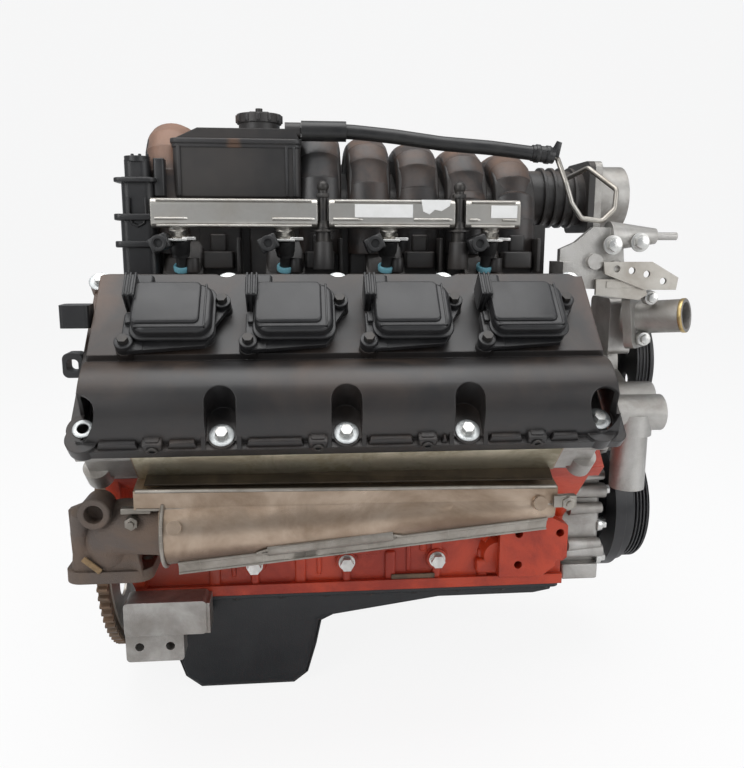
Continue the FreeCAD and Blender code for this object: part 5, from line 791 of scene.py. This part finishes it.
# %% Vent box lip, ribs and cap
VENT_LOW, VENT_HIGH = Vector((67, -116, 399)), Vector((207, -20, 462))
vent = bmesh.new()
CAP_AT, FINGERS = Vector((161, -86, 484)), 12
LIPS = ((2.5, 1.5, -5, 1, 9, 1.6), (1, 0.5, -9, -4.5, 8, 1.2))
for grow, grow_front, low, high, corner, edge in LIPS:
    add_block(vent, (VENT_LOW.x - grow, VENT_LOW.y - grow, VENT_HIGH.z + low),
              (VENT_HIGH.x + grow_front, VENT_HIGH.y, VENT_HIGH.z + high), corner=corner, edge=edge)
for x, wide in ((190, 3), (198.5, 3), (72, 4)):
    add_block(vent, (x, VENT_LOW.y - 2, VENT_LOW.z + 2), (x + wide, VENT_LOW.y + 4, VENT_HIGH.z - 7), edge=0.9)
for k in range(FINGERS):
    spoke = Matrix.Translation(CAP_AT) @ Matrix.Rotation(2 * math.pi / FINGERS * k, 4, "Z")
    add_block(vent, (23.4, -2.2, -1), (26.4, 2.2, 7.5), spoke, 0, 0.8)
add_block(vent, (150, -88, 491), (172, -84, 496), edge=1)
add_rod(vent, CAP_AT + Vector((0, 0, 7)), CAP_AT + Vector((0, 0, 10)), 15, 13)
make_piece("vent_box_lip_and_ribs", vent, "intake_plastic", paint="vent_plastic")

# %% Actuator face and socket
actuator = bmesh.new()
RAISED_U = ((22, 398), (22, 378), (25, 371), (31, 368), (37, 371), (40, 378), (40, 398))
add_bar(actuator, [(x, -134.6, z) for x, z in RAISED_U], 1.8, 10)
for low, high, grow in ((345, 352, 1.5), (374, 381, 1.5), (414, 419, 0)):
    add_block(actuator, (7 - grow, -139.5, low), (52 + grow, -106.5, high), corner=8, edge=1.4)
add_ring(actuator, (30.5, -120, 436), (0, 0, 1), 9.5, 13.5, 6)
for x in (22, 30, 38):
    add_block(actuator, (x, -112, 440), (x + 3, -108, 446), edge=0.7)
add_block(actuator, (48, -128, 400), (60, -112, 440), corner=3, edge=1)
make_piece("actuator_face_and_socket", actuator, "coil_plastic")

# %% [markdown]
# ## Intake foot
# Between the runners and the cover lie the manifold's foot ribs, stud bases and a moulded shelf. They are dark
# and mostly in shadow, but without them the space behind the coils looks empty.

# %% Ribs of the intake foot
foot = bmesh.new()
for x in CYLINDERS:
    add_block(foot, (x + 22, -128, 322), (x + 56, -104, 341), corner=4, edge=2)
    add_block(foot, (x + 30, -122, 341), (x + 48, -104, 360), corner=3, edge=2)
    add_block(foot, (x + 60, -132, 318), (x + 64, -104, 356), edge=1)
    add_rod(foot, (x + 12, -132, 318), (x + 12, -132, 334), 7)
for x in RAIL_STUDS:
    add_rod(foot, (x, -151, 322), (x, -151, 352), 11.5, 10)
make_piece("intake_foot_ribs", foot, "intake_plastic", both_banks=True, rounding=0.4)

# %% Bead and nut on each rail stud
studs = bmesh.new()
for x in RAIL_STUDS:
    add_rod(studs, (x, -151, 398.5), (x, -151, 403), 8, sides=6)
    add_ring(studs, (x, -151, 362.2), (0, 0, 1), 8.2, 12.5, 2.2)
    add_rod(studs, (x, -151, 366), (x, -151, 374), 7.5, 6)
make_piece("stud_nuts", studs, "dark_steel", both_banks=True, rounding=0.4)

# %% [markdown]
# ## Shield pressing
# The shield round the exhaust log is two pressed halves joined by a flat seam along the bottom, with a long
# dimple pressed in to stiffen it. Its strip has a rolled edge.

# %% Seam flange and dimple
LOG_REAR, LOG_FRONT = Vector((72, -286, 80)), Vector((452, -286, 95))
LOG_RADII = (34.0, 14.5)


def around_log(x, degrees, lift=0.0):
    """A point on the shield cone at x; 0 degrees faces outboard, -90 faces down."""
    share = (x - LOG_REAR.x) / (LOG_FRONT.x - LOG_REAR.x)
    radius = LOG_RADII[0] + (LOG_RADII[1] - LOG_RADII[0]) * share + lift
    middle = LOG_REAR.lerp(LOG_FRONT, share)
    angle = math.radians(degrees)
    return Vector((x, middle.y - radius * math.cos(angle), middle.z + radius * math.sin(angle)))


seam = bmesh.new()
seam_line = [around_log(x, -58, 0.6) for x in range(86, 447, 20)]
add_bar(seam, seam_line, 2.0, 12)
outer_line = [p + Vector((0, 2, -11)) for p in seam_line]
for near, far in zip(zip(seam_line, seam_line[1:]), zip(outer_line, outer_line[1:])):
    add_sheet(seam, [near[0], near[1], far[1], far[0]], (0, 1.4, 0.4))
add_bar(seam, outer_line, 1.3, 12)
DIMPLE_RIM = ((160, -50), (168, -41), (186, -37), (230, -36), (276, -37), (292, -41), (299, -50), (292, -60),
              (276, -65), (230, -66), (186, -65), (168, -60), (160, -50))
add_bar(seam, [around_log(x, degrees, 1.2) for x, degrees in DIMPLE_RIM], 1.5, 12)
add_bar(seam, [around_log(x, -50, -3.0) for x in range(170, 291, 20)], 8.0, 24)
make_piece("shield_seam_and_dimple", seam, "shield_steel", paint="seam_steel", both_banks=True)

# %% Painted shade: a dark sheet over the channel above the strip
shade_sheet = bmesh.new()
SHADE_SHEET_OUTLINE = ((58, -285.0, 135.0), (448, -282.0, 134.0), (449, -296.5, 122.4), (58, -303.0, 128.6))
add_sheet(shade_sheet, SHADE_SHEET_OUTLINE, (0, -0.6, 1.6))
make_piece("shield_channel_shade", shade_sheet, "shield_steel", paint="painted_shade_brown", both_banks=True)

# %% Rolled lip of the strip, end band and brackets
lip = bmesh.new()
add_bar(lip, [(50, -306, 124.6), (452, -299, 116.2)], 2.0, 14)
add_bar(lip, [(50, -306, 106.6), (452, -299, 98.2)], 1.4, 12)
add_bar(lip, [around_log(74, degrees, 1.4) for degrees in range(-88, 89, 11)], 2.0, 12)
add_block(lip, (449, -304, 96), (472, -296, 108), edge=1)
add_block(lip, (34, -300, 100), (62, -292, 106), edge=1)
for x, z, tip, root, nut_r, stud_r in ((463, 101, -308, -296, 7, 3.5), (44, 92, -304, -290, 6.5, 3.2)):
    add_rod(lip, (x, tip, z), (x, root, z), nut_r, sides=6)
    add_rod(lip, (x, tip - 4, z), (x, tip + 2, z), stud_r)
make_piece("shield_lip_and_brackets", lip, "shield_steel", paint="seam_steel", both_banks=True, rounding=0.3)

# %% [markdown]
# ## Cast block surface
# A cast block is never flat: ribs tie the skirt to the deck, bosses carry the cross bolts, and pads are left
# bare where something else bolts on. They are blocks with soft edges, a little proud of the CAD skirt.

# %% Ribs and bosses on the skirt
SKIRT = -100.0
cast = bmesh.new()
for x in CROSS_BOLTS:
    add_rod(cast, (x, SKIRT + 4, -39), (x, SKIRT - 1.5, -39), 17, 14)
    add_block(cast, (x - 5, SKIRT - 5, -74), (x + 5, SKIRT + 6, -48), edge=3)
    add_block(cast, (x - 22, SKIRT - 3, -30), (x - 12, SKIRT + 8, 4), edge=3)
for x in (95, 200, 312, 430):
    add_block(cast, (x - 7, SKIRT - 4, -76), (x + 7, SKIRT + 6, -28), edge=3.5)
    add_block(cast, (x + 20, SKIRT - 2.5, -56), (x + 26, SKIRT + 6, -20), edge=2.2)
add_block(cast, (24, SKIRT - 4.5, -76), (520, SKIRT + 4, -66), edge=3)
add_rod(cast, (448, SKIRT + 6, -30), (448, SKIRT - 12, -34), 26, 19)
add_rod(cast, (430, SKIRT + 6, 2), (440, SKIRT - 8, -8), 18, 14)
add_block(cast, (420, SKIRT - 9, -60), (466, SKIRT + 6, -40), edge=4)
make_piece("skirt_ribs_and_bosses", cast, "block_paint", both_banks=True)

# %% Bare pads
bare = bmesh.new()
add_block(bare, (313, SKIRT - 6.2, -75), (368, SKIRT - 3, -58), edge=1)
PAD = ((473, -42), (497, -44), (510, -34), (508, -12), (492, 2), (478, -2), (470, -18))
add_sheet(bare, [(x, SKIRT - 13, z) for x, z in PAD], (0, 14, 0))
make_piece("bare_casting_pads", bare, "cast_iron", paint="bare_iron", both_banks=True, rounding=0.8)

# %% [markdown]
# ## Shield face, ear ring and front details
# The plate beside the head is painted lighter than the cone as a painted highlight, where it catches the light:
# a thin skin with its own lighter finish lies over it. The empty cover ear has a steel limiter ring. The front
# end gets the bolt heads and bosses that a cast cover carries, the grooves of the belt pulleys and a band on
# the damper.

# %% Plate skin with painted light, and its bright edge
lit_plate_skin = bmesh.new()
add_block(lit_plate_skin, (50, -109.3, 292), (452, -108.3, 333), BANK, 0, 0.3)
make_piece("shield_plate_painted_light", lit_plate_skin, "shield_steel", paint="painted_light_steel", both_banks=True)
edge_bar = bmesh.new()
add_bar(edge_bar, [(56, -284.4, 132.6), (250, -283.6, 133.0), (446, -284.4, 132.6)], 1.1, 10)
make_piece("shield_plate_edge", edge_bar, "shield_steel", paint="seam_steel", both_banks=True)

# %% Limiter ring in the empty ear
limiter = bmesh.new()
add_ring(limiter, (8, -87.4, RAIL_UP + 14), (0, 0, 1), 5.2, 9.4, 1.4, BANK, 40)
make_piece("ear_limiter_ring", limiter, "bolt_steel", paint="zinc_washer", both_banks=True, rounding=0.3)

# %% Belt grooves and the damper band
DAMPER_R = 80.0
grooves = bmesh.new()
for x in (634, 638.5, 643, 647.5, 652):
    add_ring(grooves, (x, 0, 0), (1, 0, 0), DAMPER_R - 1.0, DAMPER_R + 1.6, 2.0, sides=96)
make_piece("damper_ribs", grooves, "damper_black", body="crank", rounding=0.4)
band = bmesh.new()
add_ring(band, (615, 0, 0), (1, 0, 0), DAMPER_R - 1.0, DAMPER_R + 0.9, 15, sides=96)
make_piece("damper_band", band, "damper_black", paint="grey_band", body="crank")
pulley = bmesh.new()
for x in (633, 637.5, 642, 646.5):
    add_ring(pulley, (x, 0, 195), (1, 0, 0), 71.0, 73.2, 2.0, sides=96)
make_piece("pump_pulley_ribs", pulley, "damper_black", body="pump_rotor", rounding=0.4)

# %% Bolts on the front covers
front_bolts = bmesh.new()
for x, y, z in ((586, -84, 96), (586, -88, 40), (586, -84, -8), (586, -86, -52), (586, -76, 140)):
    add_rod(front_bolts, (x - 4, y, z), (x + 3, y, z), 9.5, 8.5)
    add_rod(front_bolts, (x + 3, y, z), (x + 9, y, z), 6.2, sides=6)
make_piece("front_cover_bolts", front_bolts, "bolt_steel", rounding=0.4)
bosses = bmesh.new()
for z in (108, 62, 18, -30):
    add_rod(bosses, (540, -97, z), (584, -93, z), 8, 7)
    add_block(bosses, (534, -98, z - 3), (582, -88, z + 3), edge=1.4)
add_block(bosses, (534, -100, -76), (582, -86, -56), corner=4, edge=2)
make_piece("front_cover_bosses", bosses, "cast_aluminium", rounding=0.4)

# %% Thermostat flange, outlet rim and inlet rim
outlet_way, outlet_at = Vector((0.7203, -0.686, 0.1029)), Vector((613, -100, 262))
rims = bmesh.new()
add_ring(rims, outlet_at + outlet_way * 53, outlet_way, 17.4, 20.3, 4.9, sides=48)
make_piece("outlet_rim", rims, "cast_aluminium", paint="brass_plate", rounding=0.8)
flange_nuts = bmesh.new()
for y, z in ((-92, 238), (-104, 288)):
    add_rod(flange_nuts, (614, y - 20, z), (614, y - 29, z), 9, 8)
    add_rod(flange_nuts, (614, y - 29, z), (614, y - 35, z), 6, sides=6)
for x, z in ((560, 349), (592, 352)):
    add_rod(flange_nuts, (x, -142, z), (x, -150, z), 8, sides=6)
    add_ring(flange_nuts, (x, -140, z), (0, -1, 0), 5, 11, 3)
make_piece("front_bracket_bolts", flange_nuts, "bolt_steel", rounding=0.4)

# %% Hose strap and its tail
strap = bmesh.new()
add_bar(strap, [(470, -111.1, 452.2), (486, -111, 450.6), (496, -111, 449.4)], 9.2, 18)
for x, z in ((474, 451.8), (486, 450.6)):
    add_ring(strap, (x, -111, z), (1, 0, -0.1), 8, 10.2, 5)
add_sheet(strap, [(490, -118, 452), (497, -119, 465), (503, -119, 463), (500, -118, 446)], (0, 1.6, 0))
make_piece("hose_strap", strap, "hose_rubber", rounding=0.3)

# %% Ribs and slot of the exhaust elbow
elbow = bmesh.new()
add_bar(elbow, [(-8, -278, 96), (-13, -268, 72), (-14, -262, 48), (-16, -262, 26)], 9.0, 18)
WEB = ((-20, -271, 22), (-22, -271, 96), (-4, -276, 104), (44, -286, 60), (46, -272, 24))
add_sheet(elbow, WEB, (0, 10, 0))
add_ring(elbow, (8, -291.6, 99), (0, -1, 0), 9, 14.4, 3.6, sides=40)
make_piece("elbow_ribs", elbow, "cast_iron", both_banks=True, rounding=0.5)
slot = bmesh.new()
slant_slot = Matrix.Translation((-2, -275.2, 40)) @ Matrix.Rotation(math.radians(42), 4, "Y")
add_block(slot, (-11, -0.6, -3.2), (11, 1.6, 3.2), slant_slot, 0, 1.2)
make_piece("elbow_bare_slot", slot, "cast_iron", paint="bare_tan", both_banks=True)

# %% Ribs on the brace and bolts on the pan rail
brace = bmesh.new()
for x in (-8, 18, 44):
    add_block(brace, (x, -104.5, -132), (x + 5, -98, -82), edge=1.6)
make_piece("brace_ribs", brace, "cast_aluminium")
pan_bolts = bmesh.new()
for x in range(120, 520, 56):
    add_rod(pan_bolts, (x, -97, -80.5), (x, -97, -86.5), 6, sides=6)
make_piece("pan_bolts", pan_bolts, "dark_steel", both_banks=True, rounding=0.4)

# %% Print the sizes and finish
low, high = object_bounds()
print("visual box", [round(v, 4) for v in (*low, *high)])
